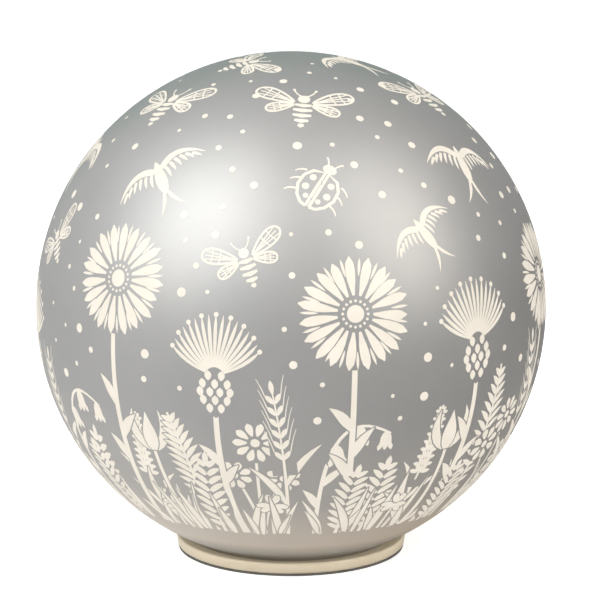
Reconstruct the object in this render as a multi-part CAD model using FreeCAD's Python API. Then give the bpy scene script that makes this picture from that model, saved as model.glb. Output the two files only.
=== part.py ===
import FreeCAD, Part
import math
import os

# LED ball light: a lacquered glass ball whose short neck is bedded in a low plastic base.
# The base holds three AA cells, a switch, the driver board and the LED tower that stands
# up through the neck. Millimetres, +Z up, origin at the middle of the foot ring's underside.

Vector = FreeCAD.Vector
up = Vector(0, 0, 1)
forward = Vector(0, 1, 0)
along_axis_share = 0.54     # cosine above which a line counts as running along an axis

# Cells
cell_radius = 7.1
cell_length = 50.5
cell_pitch = 15.0
cell_nub_radius = 2.75
cell_nub_height = 1.4
cell_edge = 0.7
cell_side_gap = 0.4
cell_roof_gap = 0.3
cell_door_gap = 0.6

# Contacts
contact_thickness = 0.4
contact_width = 9.0
contact_height = 11.0
contact_corner = 1.2
button_radius = 2.4
button_tip_radius = 1.7
button_height = 1.2
tab_width = 2.4
tab_above_roof = 1.7
spring_height = 4.5
spring_wire = 0.7
spring_seat_gap = 0.03
spring_base_radius = 3.6
spring_top_radius = 2.2
spring_flat_turns_share = 0.25
spring_rising_turns_share = 2.5
spring_step_share = 0.02
spring_places_per_turn = 90

# Door
door_thickness = 1.5
door_lap = 1.5
door_gap = 0.15
door_lift_gap = 0.05
door_corner_radius = 7.0
door_rib_width = 1.2
door_rib_height = 2.6
door_ear_radius = 3.2
door_ear_height = 3.5
gasket_width = 0.9
gasket_depth = 0.8
gasket_edge = 0.35

# Screws of the door
door_screw_radius = 1.25
door_screw_length = 7.0
door_screw_head_radius = 2.3
door_screw_head_height = 1.3
door_screw_inset = 0.2
door_screw_head_gap = 0.3
door_screw_hole_gap = 0.15
door_boss_wall = 1.5
door_boss_reach = 3.5
screw_fit = 0.04
pilot_spare = 1.0
cross_width = 0.6
cross_depth = 0.8

# Base
foot_height = 0.8
foot_inset = 0.8
floor_thickness = 3.0
groove_floor = 1.2
rim_width = 5.8
rim_height = 4.4
rim_wall = 1.7
rim_web = 1.6
rim_taper = 0.45
rim_foot_radius = 1.0
rim_edge_radius = 0.8
rim_slope = 0.7
collar_wall = 1.6
collar_gap = 0.55
roof_thickness = 1.5
bay_wall = 1.5
cradle_thickness = 1.5
cradle_gap = 0.2
cradle_depth = 5.5
contact_guide = 1.0
contact_guide_depth = 1.3
contact_guide_gap = 0.1

# Glass ball
globe_radius = 100.0
globe_wall = 2.0
neck_wall = 2.2
neck_length = 1.25
neck_bend_radius = 1.5
neck_inner_bend_radius = 1.2
neck_collar_gap = 0.6
groove_gap = 0.4
seal_under = 0.6
seal_height = 1.5
seal_side_gap = 0.08

# Switch
switch_width = 5.6
switch_length = 11.0
switch_height = 4.8
switch_wall = 0.7
switch_ear_thickness = 0.6
switch_ear_length = 4.0
switch_bay_gap = 2.2
switch_travel = 4.0
slider_width = 2.2
slider_length = 2.4
slider_tip_inset = 0.3
slider_gap = 0.15
slider_rest_share = 1 / 3
carrier_length = 4.4
carrier_height = 1.6
window_gap = 0.3
dish_width = 9.0
dish_length = 14.0
dish_depth = 1.4
dish_corner = 3.0
switch_screw_radius = 0.9
switch_screw_length = 2.8
switch_screw_head_radius = 1.7
switch_screw_head_height = 1.1
pin_radius = 0.35
pin_height = 1.6
pin_pitch = 2.5

# Driver board and what is on it
board_edge_gap = 0.6
board_thickness = 1.6
board_boss_radius = 2.2
board_boss_height = 2.5
board_hole_inset = 5.0
board_screw_radius = 1.0
board_screw_length = 5.0
board_screw_head_radius = 2.0
board_screw_head_height = 1.3
board_boss_angles = (30.0, 150.0, 270.0)
chip_width = 3.9
chip_length = 8.7
chip_height = 1.5
chip_foot_width = 0.5
chip_foot_reach = 1.0
chip_foot_height = 0.8
chip_feet_per_side = 7
coil_radius = 4.0
coil_core_radius = 2.4
coil_height = 4.4
coil_flange = 0.8
capacitor_radius = 2.5
capacitor_height = 5.2
capacitor_edge = 0.5
resistor_length = 2.0
resistor_width = 1.25
resistor_height = 0.6
chip_place_shares = (0.05, 0.22)
coil_place_shares = (-0.45, -0.1)
capacitor_place_shares = (0.4, -0.22)
resistor_place_shares = ((-0.42, 0.28), (-0.36, 0.46), (0.42, 0.28), (0.1, -0.42), (0.25, -0.58))

# Cap over the board
cap_wall = 1.6
cap_height = 12.3
cap_inset = 0.4
cap_shoulder_radius = 4.0
cap_boss_radius = 2.8
cap_boss_inset = 6.9
cap_boss_angles = (90.0, 210.0, 330.0)
cap_screw_radius = 1.25
cap_screw_length = 9.0
cap_screw_head_radius = 2.4
cap_screw_head_height = 1.6
wire_hole_radius = 3.0
stand_radius = 2.4
stand_height = 1.2
locating_ring_radius = 21.4
locating_ring_wall = 1.4
locating_ring_height = 1.0

# LED board, LEDs and the dome over them
led_board_radius = 18.0
led_board_thickness = 1.6
led_screw_reach = 14.0
led_screw_radius = 1.0
led_screw_length = 3.6
led_screw_head_radius = 1.9
led_screw_head_height = 1.2
led_count = 6
led_ring_radius = 8.0
led_radius = 2.4
led_flange_radius = 2.8
led_flange_height = 0.8
led_body_height = 1.6
dome_radius = 23.0
dome_wall = 1.2
dome_skirt = 4.0

# Wires
lead_radius = 0.6
lead_rise = 3.3
lead_bend_share = 0.45
pad_inset = 1.6
wire_sides = 8
led_lead_spread = 1.4
led_lead_start_shares = (0.16, 0.46)
led_lead_height_share = 0.5

overrun = 1.0

# Levels and sizes that follow from the pieces above
floor_bottom = foot_height
floor_top = floor_bottom + floor_thickness
door_top = floor_bottom + door_thickness
ledge_level = door_top + door_lift_gap
cell_height = door_top + cell_door_gap + cell_radius
roof_bottom = cell_height + cell_radius + cell_roof_gap
roof_top = roof_bottom + roof_thickness
bay_width = 2 * (cell_pitch + cell_radius + cell_side_gap)
bay_length = cell_length + spring_height + button_height + 2 * contact_thickness
bay_half = bay_length / 2
door_width = bay_width + 2 * door_lap
door_length = bay_length + 2 * door_lap
door_screw_reach = bay_half + door_boss_reach
switch_x = bay_width / 2 + bay_wall + switch_bay_gap + switch_width / 2
contact_corner_reach = math.hypot(cell_pitch + contact_width / 2, bay_half)
switch_corner_reach = math.hypot(switch_x + switch_width / 2, switch_length / 2 + switch_ear_length)
collar_inner_radius = max(contact_corner_reach, switch_corner_reach) + collar_gap
collar_radius = collar_inner_radius + collar_wall
neck_inner_radius = collar_radius + neck_collar_gap
neck_radius = neck_inner_radius + neck_wall
groove_radius = neck_radius + groove_gap
base_radius = groove_radius + rim_width
groove_level = floor_bottom + groove_floor
neck_bottom = groove_level + seal_under
neck_top = neck_bottom + neck_length
globe_rise = math.sqrt((globe_radius + neck_bend_radius) ** 2 - (neck_radius + neck_bend_radius) ** 2)
globe_centre = neck_top + globe_rise
rim_top = floor_bottom + rim_height
switch_top = floor_top + switch_height
board_bottom = roof_top + board_boss_height
board_top = board_bottom + board_thickness
cap_radius = collar_radius - cap_inset
cap_top = roof_top + cap_height
cap_inner_top = cap_top - cap_wall
cap_boss_reach = cap_radius - cap_boss_inset
board_radius = min(cap_boss_reach - cap_boss_radius, switch_x - lead_radius) - board_edge_gap
board_hole_radius = board_radius - board_hole_inset
led_board_bottom = cap_top + stand_height
led_board_top = led_board_bottom + led_board_thickness
tab_top = roof_top + tab_above_roof


def cylinder(radius, bottom, top, x=0, y=0):
    return Part.makeCylinder(radius, top - bottom, Vector(x, y, bottom))


def tube_wall(inner, outer, bottom, top):
    shape = cylinder(outer, bottom, top)
    return shape.cut(cylinder(inner, bottom - overrun, top + overrun))


def block(x_size, y_size, bottom, top, x=0, y=0):
    corner = Vector(x - x_size / 2, y - y_size / 2, bottom)
    return Part.makeBox(x_size, y_size, top - bottom, corner)


def rounded_block(x_size, y_size, corner, bottom, top, x=0, y=0):
    shape = block(x_size, y_size, bottom, top, x, y)
    upright = [edge for edge in shape.Edges if abs(edge.tangentAt(edge.FirstParameter).z) > along_axis_share]
    return shape.makeFillet(corner, upright)


def at_angle(radius, degrees):
    turn = math.radians(degrees)
    return radius * math.cos(turn), radius * math.sin(turn)


def corner_arc(centre, radius, start, end):
    """Quarter or part arc in the upright plane, between two angles in degrees."""
    points = []
    for degrees in (start, (start + end) / 2, end):
        across, rise = at_angle(radius, degrees)
        points.append(Vector(centre[0] + across, 0, centre[1] + rise))
    return Part.Arc(*points).toShape()


def spun(pieces):
    """Solid of revolution about Z from points (r, z) and arcs, given in order."""
    edges = []
    last = None
    first = None
    for piece in pieces:
        if isinstance(piece, Part.Edge):
            start = piece.valueAt(piece.FirstParameter)
            end = piece.valueAt(piece.LastParameter)
        else:
            start = Vector(piece[0], 0, piece[1])
            end = start
        if last is not None and start.distanceToPoint(last) > Part.Vertex(start).Tolerance:
            edges.append(Part.LineSegment(last, start).toShape())
        if isinstance(piece, Part.Edge):
            edges.append(piece)
        if first is None:
            first = start
        last = end
    edges.append(Part.LineSegment(last, first).toShape())
    face = Part.Face(Part.Wire(edges))
    return face.revolve(Vector(0, 0, 0), up, 360)


def fused(shapes):
    return shapes[0].multiFuse(shapes[1:]).removeSplitter()


def mirrored_end(shape):
    """The same shape at the other end of the bay."""
    return shape.rotated(Vector(0, 0, 0), up, 180)


def biarc(start, leaving, end, arriving):
    """Two arcs that leave the start and reach the end along the given directions."""
    chord = end - start
    both = leaving + arriving
    spread = 2 * (1 - leaving.dot(arriving))
    along = chord.dot(both)
    reach = (math.sqrt(along ** 2 + spread * chord.dot(chord)) - along) / spread
    first_corner = start + leaving * reach
    last_corner = end - arriving * reach
    joint = (first_corner + last_corner) / 2
    return [bend(start, first_corner, joint), bend(joint, last_corner, end)]


def bend(start, corner, end):
    """Arc between two points, tangent to the two lines that meet at the corner."""
    middle = (start + end) / 2
    half_chord = start.distanceToPoint(end) / 2
    turn_cosine = half_chord / start.distanceToPoint(corner)
    top = corner + (middle - corner) / (1 + turn_cosine)
    return Part.Arc(start, top, end).toShape()


def wire_along(edges, radius):
    """Wire with a few flat sides, swept along joined edges."""
    start = edges[0].valueAt(edges[0].FirstParameter)
    heading = edges[0].tangentAt(edges[0].FirstParameter)
    across = heading.cross(up if abs(heading.z) < along_axis_share else forward).normalize()
    corners = []
    for side in range(wire_sides + 1):
        turned = FreeCAD.Rotation(heading, 360 * side / wire_sides).multVec(across)
        corners.append(start + turned * radius)
    section = Part.makePolygon(corners)
    return Part.Wire(edges).makePipeShell([section], True, False)


def lead(points, radius):
    """Insulated wire: straight runs joined by tangent arcs as large as the runs allow."""
    route = [Vector(*point) for point in points]
    edges = []
    start = route[0]
    for before, corner, after in zip(route, route[1:], route[2:]):
        into = (corner - before).normalize()
        out = (after - corner).normalize()
        cut = lead_bend_share * min(before.distanceToPoint(corner), corner.distanceToPoint(after))
        arc_start = corner - into * cut
        arc_end = corner + out * cut
        edges.append(Part.LineSegment(start, arc_start).toShape())
        edges.append(bend(arc_start, corner, arc_end))
        start = arc_end
    edges.append(Part.LineSegment(start, route[-1]).toShape())
    return wire_along(edges, radius)


def pan_screw(radius, length, head_radius, head_height):
    """Screw with its head on top, the underside of the head at height zero."""
    edge = head_height / 2
    head = spun([
        (0, 0),
        (head_radius, 0),
        (head_radius, edge),
        (head_radius - edge, head_height),
        (0, head_height),
    ])
    shank = cylinder(radius, -length, 0)
    slot_long = 2 * head_radius - 2 * edge
    slot_floor = head_height - cross_depth
    slot = block(slot_long, cross_width, slot_floor, head_height + overrun)
    cross = slot.fuse(slot.rotated(Vector(0, 0, 0), up, 90))
    return fused([head, shank]).cut(cross)


def foot_ring():
    inner = groove_radius - foot_inset / 2
    outer = base_radius - foot_inset
    return tube_wall(inner, outer, 0, foot_height)


def base_body():
    """Floor, rim, groove, collar and roof, turned in one profile."""
    rim_inner = groove_radius + rim_wall
    wall_inner = base_radius - rim_taper - rim_wall
    web_bottom = rim_top - rim_web
    foot_centre = (base_radius - rim_taper - rim_foot_radius, floor_bottom + rim_foot_radius)
    edge_centre = (base_radius - rim_edge_radius, rim_top - rim_edge_radius)
    return spun([
        (0, floor_bottom),
        (rim_inner, floor_bottom),
        (rim_inner, web_bottom),
        (wall_inner, web_bottom),
        (wall_inner, floor_bottom),
        corner_arc(foot_centre, rim_foot_radius, -90, 0),
        corner_arc(edge_centre, rim_edge_radius, 0, 90),
        (groove_radius, rim_top - rim_slope),
        (groove_radius, groove_level),
        (collar_radius, groove_level),
        (collar_radius, roof_top),
        (0, roof_top),
    ])


def cell_cradle():
    """Cross rib under the roof, hollowed to the shape of the cells."""
    shape = block(bay_width, cradle_thickness, roof_bottom - cradle_depth, roof_bottom)
    for side in (-1, 0, 1):
        hollow = Part.makeCylinder(
            cell_radius + cradle_gap,
            cradle_thickness + 2 * overrun,
            Vector(side * cell_pitch, -cradle_thickness / 2 - overrun, cell_height),
            forward,
        )
        shape = shape.cut(hollow)
    return shape


def contact_guides():
    """Upright ribs on the forward end wall that the contact plates stand between."""
    half_plate = contact_width / 2 + contact_guide_gap + contact_guide / 2
    places = (half_plate, cell_pitch - half_plate, cell_pitch + half_plate, -cell_pitch - half_plate)
    middle = bay_half - contact_guide_depth / 2
    guides = []
    for x in places:
        guides.append(block(contact_guide, contact_guide_depth, floor_top, roof_bottom, x, middle))
    return guides


def base_housing():
    shape = base_body()
    shape = shape.cut(cylinder(collar_inner_radius, floor_top, roof_bottom))
    inside = cylinder(collar_inner_radius + collar_wall / 2, floor_top, roof_bottom)
    walls = []
    wall_x = bay_width / 2 + bay_wall / 2
    wall_y = bay_half + bay_wall / 2
    for side in (-1, 1):
        walls.append(block(bay_wall, bay_length, floor_top, roof_bottom, side * wall_x, 0))
        walls.append(block(bay_width, bay_wall, floor_top, roof_bottom, 0, side * wall_y))
        cradle_y = side * (bay_half - cell_length / 4)
        walls.append(cell_cradle().translated(Vector(0, cradle_y, 0)))
        boss_outer = door_screw_radius + screw_fit + door_boss_wall
        boss_top = floor_bottom + door_ear_height + door_screw_length
        walls.append(cylinder(boss_outer, floor_top, boss_top, 0, side * door_screw_reach))
    walls += contact_guides()
    walls += [mirrored_end(guide) for guide in contact_guides()]
    walls = [wall.common(inside) for wall in walls]
    for side in (-1, 1):
        rib_y = side * (switch_length / 2 + switch_ear_length + slider_gap + contact_guide / 2)
        rib = block(switch_width, contact_guide, floor_top, floor_top + switch_height / 2, switch_x, rib_y)
        walls.append(rib.common(inside))
    for degrees in cap_boss_angles:
        x, y = at_angle(cap_boss_reach, degrees)
        walls.append(cylinder(cap_boss_radius, roof_top, cap_inner_top, x, y))
    for degrees in board_boss_angles:
        x, y = at_angle(board_hole_radius, degrees)
        walls.append(cylinder(board_boss_radius, roof_top, board_bottom, x, y))
    shape = fused([shape] + walls)
    return shape.cut(fused(base_cuts()))


def base_cuts():
    """Everything that is open in the base: door recess, switch window, pilot holes and wire slots."""
    cuts = []
    opening_corner = door_corner_radius - door_lap
    cuts.append(rounded_block(bay_width, bay_length, opening_corner, floor_bottom, floor_top + overrun))
    recess_corner = door_corner_radius + door_gap
    recess_width = door_width + 2 * door_gap
    recess_length = door_length + 2 * door_gap
    recess_bottom = floor_bottom - overrun
    cuts.append(rounded_block(recess_width, recess_length, recess_corner, recess_bottom, ledge_level))
    for side in (-1, 1):
        y = side * door_screw_reach
        ear_top = floor_bottom + door_ear_height + door_lift_gap
        cuts.append(screw_ear(side, door_ear_radius + door_gap, recess_bottom, ledge_level, ear_top, door_gap))
        pilot_top = floor_bottom + door_ear_height + door_screw_length + overrun
        cuts.append(cylinder(door_screw_radius + screw_fit, recess_bottom, pilot_top, 0, y))
        screw_y = side * (switch_length / 2 + switch_ear_length / 2)
        pilot_floor = floor_top - switch_screw_length + switch_ear_thickness
        cuts.append(cylinder(switch_screw_radius, pilot_floor, floor_top, switch_x, screw_y))
        slot_x = side * cell_pitch
        slot_y = side * (bay_half - contact_thickness / 2)
        slot_width = tab_width + 2 * contact_guide_gap
        slot_depth = contact_thickness + 2 * contact_guide_gap
        slot_top = roof_top + overrun
        cuts.append(block(slot_width, slot_depth, roof_bottom - overrun, slot_top, slot_x, slot_y))
    dish_top = floor_bottom + dish_depth
    dish = rounded_block(dish_width, dish_length, dish_corner, recess_bottom, dish_top, switch_x)
    cuts.append(dish)
    window_width = slider_width + 2 * window_gap
    window_length = slider_length + switch_travel + 2 * window_gap
    cuts.append(block(window_width, window_length, floor_bottom, floor_top + overrun, switch_x))
    wire_slot_width = 2 * (lead_radius + window_gap)
    wire_slot_length = 2 * pin_pitch + wire_slot_width
    cuts.append(block(wire_slot_width, wire_slot_length, roof_bottom - overrun, roof_top + overrun, switch_x))
    for degrees in cap_boss_angles:
        x, y = at_angle(cap_boss_reach, degrees)
        bottom = cap_top - cap_screw_length - pilot_spare
        cuts.append(cylinder(cap_screw_radius, bottom, cap_inner_top, x, y))
    for degrees in board_boss_angles:
        x, y = at_angle(board_hole_radius, degrees)
        bottom = board_top - board_screw_length
        cuts.append(cylinder(board_screw_radius, bottom, board_bottom, x, y))
    return cuts


def glass_globe():
    """Blown ball: two spheres that run through small bends into a short neck with a melted rim."""
    bend_x = neck_radius + neck_bend_radius
    bend_drop = math.sqrt((globe_radius + neck_bend_radius) ** 2 - bend_x ** 2)
    inner_radius = globe_radius - globe_wall
    inner_bend_x = neck_inner_radius + neck_inner_bend_radius
    inner_reach = inner_radius + neck_inner_bend_radius
    inner_drop = math.sqrt(inner_reach ** 2 - inner_bend_x ** 2)
    rim_radius = neck_wall / 2
    rim_centre = (neck_inner_radius + rim_radius, neck_bottom + rim_radius)
    outer_angle = math.degrees(math.atan2(-bend_drop, bend_x))
    inner_angle = math.degrees(math.atan2(-inner_drop, inner_bend_x))
    sphere_centre = (0, globe_centre)
    return spun([
        corner_arc(sphere_centre, inner_radius, 90, inner_angle),
        corner_arc((inner_bend_x, globe_centre - inner_drop), neck_inner_bend_radius, 180 + inner_angle, 180),
        corner_arc(rim_centre, rim_radius, 180, 360),
        corner_arc((bend_x, globe_centre - bend_drop), neck_bend_radius, 180, 180 + outer_angle),
        corner_arc(sphere_centre, globe_radius, outer_angle, 90),
    ])


def globe_seal():
    """Soft bead that fills the groove under and beside the neck's rim."""
    inner = collar_radius + seal_side_gap
    outer = groove_radius - seal_side_gap
    rim_radius = neck_wall / 2
    centre = (neck_inner_radius + rim_radius, neck_bottom + rim_radius)
    top = groove_level + seal_height
    body = spun([(inner, groove_level), (outer, groove_level), (outer, top), (inner, top)])
    channel_radius = rim_radius + seal_side_gap / 2
    channel = Part.makeTorus(centre[0], channel_radius, Vector(0, 0, centre[1]))
    straight_inner = centre[0] - channel_radius
    straight_outer = centre[0] + channel_radius
    upper = tube_wall(straight_inner, straight_outer, centre[1], top + overrun)
    return body.cut(channel).cut(upper)


def aa_cell():
    """One cell standing on its flat end, turned down on to its side by the caller."""
    can_top = cell_length - cell_nub_height
    nub_edge = cell_edge / 2
    return spun([
        (0, 0),
        (cell_radius - cell_edge, 0),
        (cell_radius, cell_edge),
        (cell_radius, can_top - cell_edge),
        (cell_radius - cell_edge, can_top),
        (cell_nub_radius, can_top),
        (cell_nub_radius, cell_length - nub_edge),
        (cell_nub_radius - nub_edge, cell_length),
        (0, cell_length),
    ])


def laid_cell(column):
    """Cell in its column of the bay, the outer ones facing forward and the middle one back."""
    shape = aa_cell()
    shape.rotate(Vector(0, 0, 0), Vector(1, 0, 0), -90)
    flat_end = -bay_half + contact_thickness + spring_height
    shape.translate(Vector(0, flat_end, 0))
    if column == 0:
        shape.rotate(Vector(0, 0, 0), up, 180)
    shape.translate(Vector(column * cell_pitch, 0, cell_height))
    return shape


def contact_plate(x, width):
    """Plate against the forward end wall, with rounded corners."""
    y = bay_half - contact_thickness / 2
    bottom = cell_height - contact_height / 2
    top = cell_height + contact_height / 2
    shape = block(width, contact_thickness, bottom, top, x, y)
    corners = [edge for edge in shape.Edges if abs(edge.tangentAt(edge.FirstParameter).y) > along_axis_share]
    return shape.makeFillet(contact_corner, corners)


def contact_button(x):
    """Pressed stud that the nub of a cell bears on."""
    face = bay_half - contact_thickness
    shape = Part.makeCone(
        button_radius,
        button_tip_radius,
        button_height,
        Vector(x, face, cell_height),
        -forward,
    )
    return shape


def contact_tab(x):
    """Strip from the plate up through the roof, where a wire is soldered to it."""
    y = bay_half - contact_thickness / 2
    return block(tab_width, contact_thickness, cell_height, tab_top, x, y)


def positive_contact():
    return fused([
        contact_plate(cell_pitch, contact_width),
        contact_button(cell_pitch),
        contact_tab(cell_pitch),
    ])


def negative_contact():
    return mirrored_end(fused([
        contact_plate(cell_pitch, contact_width),
        contact_tab(cell_pitch),
    ]))


def link_contacts():
    """Two wide plates, each joining the ends of two cells."""
    width = cell_pitch + contact_width
    forward_link = fused([contact_plate(-cell_pitch / 2, width), contact_button(-cell_pitch)])
    back_link = fused([contact_plate(-cell_pitch / 2, width), contact_button(0)])
    return [forward_link, mirrored_end(back_link)]


def spring_point(turns):
    """Place on the spring's centre line, for a spring that stands on height zero."""
    total = 2 * spring_flat_turns_share + spring_rising_turns_share
    risen = (turns - spring_flat_turns_share) / spring_rising_turns_share
    risen = min(max(risen, 0), 1)
    radius = spring_base_radius + risen * (spring_top_radius - spring_base_radius)
    x, y = at_angle(radius, 360 * min(turns, total))
    lowest = spring_wire / 2 + spring_seat_gap
    rise = lowest + risen * (spring_height - 2 * lowest)
    return Vector(x, y, rise)


def spring_direction(turns):
    total = 2 * spring_flat_turns_share + spring_rising_turns_share
    before = max(turns - spring_step_share, 0)
    after = min(turns + spring_step_share, total)
    return (spring_point(after) - spring_point(before)).normalize()


def coil_spring():
    """Conical spring of real turns, one unbroken wire laid in half turns."""
    total = 2 * spring_flat_turns_share + spring_rising_turns_share
    halves = round(total * 2)
    edges = []
    for half in range(halves):
        here = total * half / halves
        there = total * (half + 1) / halves
        edges += biarc(
            spring_point(here), spring_direction(here), spring_point(there), spring_direction(there)
        )
    return wire_along(edges, spring_wire / 2)


def spring_self_gap():
    """Least gap between turns, measured on points of the centre line."""
    total = 2 * spring_flat_turns_share + spring_rising_turns_share
    count = round(total * spring_places_per_turn)
    points = [spring_point(total * step / count) for step in range(count + 1)]
    half_turn = round(count / total / 2)
    least = spring_height
    for first, point in enumerate(points):
        for other in points[first + half_turn:]:
            least = min(least, point.distanceToPoint(other) - spring_wire)
    return least


def contact_springs():
    """One spring at the flat end of each cell, its wide end on the contact plate."""
    springs = []
    for column in (-1, 0, 1):
        shape = coil_spring()
        shape.rotate(Vector(0, 0, 0), Vector(1, 0, 0), -90)
        shape.translate(Vector(0, -bay_half + contact_thickness, 0))
        if column == 0:
            shape.rotate(Vector(0, 0, 0), up, 180)
        shape.translate(Vector(column * cell_pitch, 0, cell_height))
        springs.append(shape)
    return springs


def gasket_loop(width_at, bottom, top):
    """Closed loop along the door's edge, of the given width about the middle of the lap."""
    middle_width = door_width - 2 * gasket_edge - gasket_width
    middle_length = door_length - 2 * gasket_edge - gasket_width
    middle_corner = door_corner_radius - gasket_edge - gasket_width / 2
    outer = rounded_block(
        middle_width + width_at, middle_length + width_at, middle_corner + width_at / 2, bottom, top
    )
    inner = rounded_block(
        middle_width - width_at,
        middle_length - width_at,
        middle_corner - width_at / 2,
        bottom - overrun,
        top + overrun,
    )
    return outer.cut(inner)


def screw_ear(side, radius, bottom, plate_top, top, spare):
    """Round ear for a door screw, cut flat above the plate where the gasket and the end wall are."""
    shape = cylinder(radius, bottom, top, 0, side * door_screw_reach)
    return shape.cut(block(door_width, door_length - 2 * spare, plate_top, top + overrun))


def battery_door():
    """Flush plate with two screw ears, a gasket groove and ribs that stand between the cells."""
    plate = rounded_block(door_width, door_length, door_corner_radius, floor_bottom, door_top)
    pieces = [plate]
    ear_top = floor_bottom + door_ear_height
    for side in (-1, 1):
        pieces.append(screw_ear(side, door_ear_radius, floor_bottom, door_top, ear_top, 0))
        rib_length = bay_length - 2 * door_corner_radius
        rib_top = door_top + door_rib_height
        pieces.append(block(door_rib_width, rib_length, door_top, rib_top, side * cell_pitch / 2))
    shape = fused(pieces)
    shape = shape.cut(gasket_loop(gasket_width, door_top - gasket_depth, door_top + overrun))
    seat = floor_bottom + door_screw_inset + door_screw_head_height
    for side in (-1, 1):
        y = side * door_screw_reach
        head_hole = door_screw_head_radius + door_screw_head_gap
        shape = shape.cut(cylinder(head_hole, floor_bottom - overrun, seat, 0, y))
        shank_hole = door_screw_radius + door_screw_hole_gap
        shape = shape.cut(cylinder(shank_hole, floor_bottom, ear_top + overrun, 0, y))
    return shape


def door_gasket():
    return gasket_loop(gasket_width, door_top - gasket_depth, door_top)


def door_screw(side):
    """Screw with its head down in the door's ear and its shank up in the boss."""
    seat = floor_bottom + door_screw_inset + door_screw_head_height
    reach = door_ear_height - door_screw_inset - door_screw_head_height + door_screw_length
    shape = pan_screw(door_screw_radius, reach, door_screw_head_radius, door_screw_head_height)
    shape.rotate(Vector(0, 0, 0), Vector(1, 0, 0), 180)
    shape.translate(Vector(0, side * door_screw_reach, seat))
    return shape


def switch_body():
    """Metal shell with two ears, open below for the slider, and three pins on top."""
    shell = block(switch_width, switch_length, floor_top, switch_top, switch_x)
    pieces = [shell]
    for side in (-1, 1):
        ear_y = side * (switch_length / 2 + switch_ear_length / 2)
        ear = block(
            switch_width, switch_ear_length, floor_top, floor_top + switch_ear_thickness, switch_x, ear_y
        )
        pieces.append(ear)
    for place in (-1, 0, 1):
        pieces.append(cylinder(pin_radius, switch_top, switch_top + pin_height, switch_x, place * pin_pitch))
    shape = fused(pieces)
    cavity_width = switch_width - 2 * switch_wall
    cavity_length = carrier_length + switch_travel + 2 * slider_gap
    carrier_bottom = floor_top + switch_wall
    cavity_top = carrier_bottom + carrier_height + slider_gap
    shape = shape.cut(block(cavity_width, cavity_length, carrier_bottom, cavity_top, switch_x))
    slot_length = slider_length + switch_travel + 2 * slider_gap
    slot_width = slider_width + 2 * slider_gap
    slot = block(slot_width, slot_length, floor_top - overrun, carrier_bottom + overrun, switch_x)
    shape = shape.cut(slot)
    for side in (-1, 1):
        hole_y = side * (switch_length / 2 + switch_ear_length / 2)
        hole_top = floor_top + switch_ear_thickness + overrun
        shape = shape.cut(cylinder(switch_screw_radius, floor_top - overrun, hole_top, switch_x, hole_y))
    return shape


def switch_slider():
    """Knob that reaches down through the window, on a carrier that runs in the shell."""
    rest_y = -switch_travel / 2
    carrier_bottom = floor_top + switch_wall + slider_gap * slider_rest_share
    carrier_top = carrier_bottom + carrier_height
    carrier_width = switch_width - 2 * switch_wall - 2 * slider_gap
    carrier = block(carrier_width, carrier_length, carrier_bottom, carrier_top, switch_x, rest_y)
    knob_bottom = floor_bottom + slider_tip_inset
    knob = block(slider_width, slider_length, knob_bottom, carrier_top, switch_x, rest_y)
    return fused([carrier, knob])


def switch_screws():
    screws = []
    for side in (-1, 1):
        y = side * (switch_length / 2 + switch_ear_length / 2)
        shape = pan_screw(
            switch_screw_radius, switch_screw_length, switch_screw_head_radius, switch_screw_head_height
        )
        screws.append(shape.translated(Vector(switch_x, y, floor_top + switch_ear_thickness)))
    return screws


def electronics_cap():
    """Turned cover with a soft shoulder, stands for the LED board and a ring that centres the dome."""
    inner_shoulder = cap_shoulder_radius - cap_wall
    outer_centre = (cap_radius - cap_shoulder_radius, cap_top - cap_shoulder_radius)
    inner_centre = (outer_centre[0], outer_centre[1])
    shell = spun([
        (cap_radius - cap_wall, roof_top),
        (cap_radius, roof_top),
        corner_arc(outer_centre, cap_shoulder_radius, 0, 90),
        (0, cap_top),
        (0, cap_inner_top),
        corner_arc(inner_centre, inner_shoulder, 90, 0),
    ])
    ring_inner = locating_ring_radius - locating_ring_wall
    pieces = [shell, tube_wall(ring_inner, locating_ring_radius, cap_top, cap_top + locating_ring_height)]
    for side in (-1, 1):
        pieces.append(cylinder(stand_radius, cap_top, led_board_bottom, side * led_screw_reach, 0))
    shape = fused(pieces)
    shape = shape.cut(cylinder(wire_hole_radius, cap_inner_top - overrun, cap_top + overrun))
    for side in (-1, 1):
        x = side * led_screw_reach
        bottom = led_board_top - led_screw_length
        shape = shape.cut(cylinder(led_screw_radius, bottom, led_board_bottom, x, 0))
    for degrees in cap_boss_angles:
        x, y = at_angle(cap_boss_reach, degrees)
        shape = shape.cut(cylinder(cap_screw_radius, cap_inner_top - overrun, cap_top + overrun, x, y))
    return shape


def cap_screws():
    screws = []
    for degrees in cap_boss_angles:
        x, y = at_angle(cap_boss_reach, degrees)
        shape = pan_screw(cap_screw_radius, cap_screw_length, cap_screw_head_radius, cap_screw_head_height)
        screws.append(shape.translated(Vector(x, y, cap_top)))
    return screws


def control_board():
    shape = cylinder(board_radius, board_bottom, board_top)
    for degrees in board_boss_angles:
        x, y = at_angle(board_hole_radius, degrees)
        shape = shape.cut(cylinder(board_screw_radius, board_bottom - overrun, board_top + overrun, x, y))
    return shape


def board_screws():
    screws = []
    for degrees in board_boss_angles:
        x, y = at_angle(board_hole_radius, degrees)
        shape = pan_screw(
            board_screw_radius, board_screw_length, board_screw_head_radius, board_screw_head_height
        )
        screws.append(shape.translated(Vector(x, y, board_top)))
    return screws


def on_board(shares):
    return shares[0] * board_radius, shares[1] * board_radius


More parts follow.
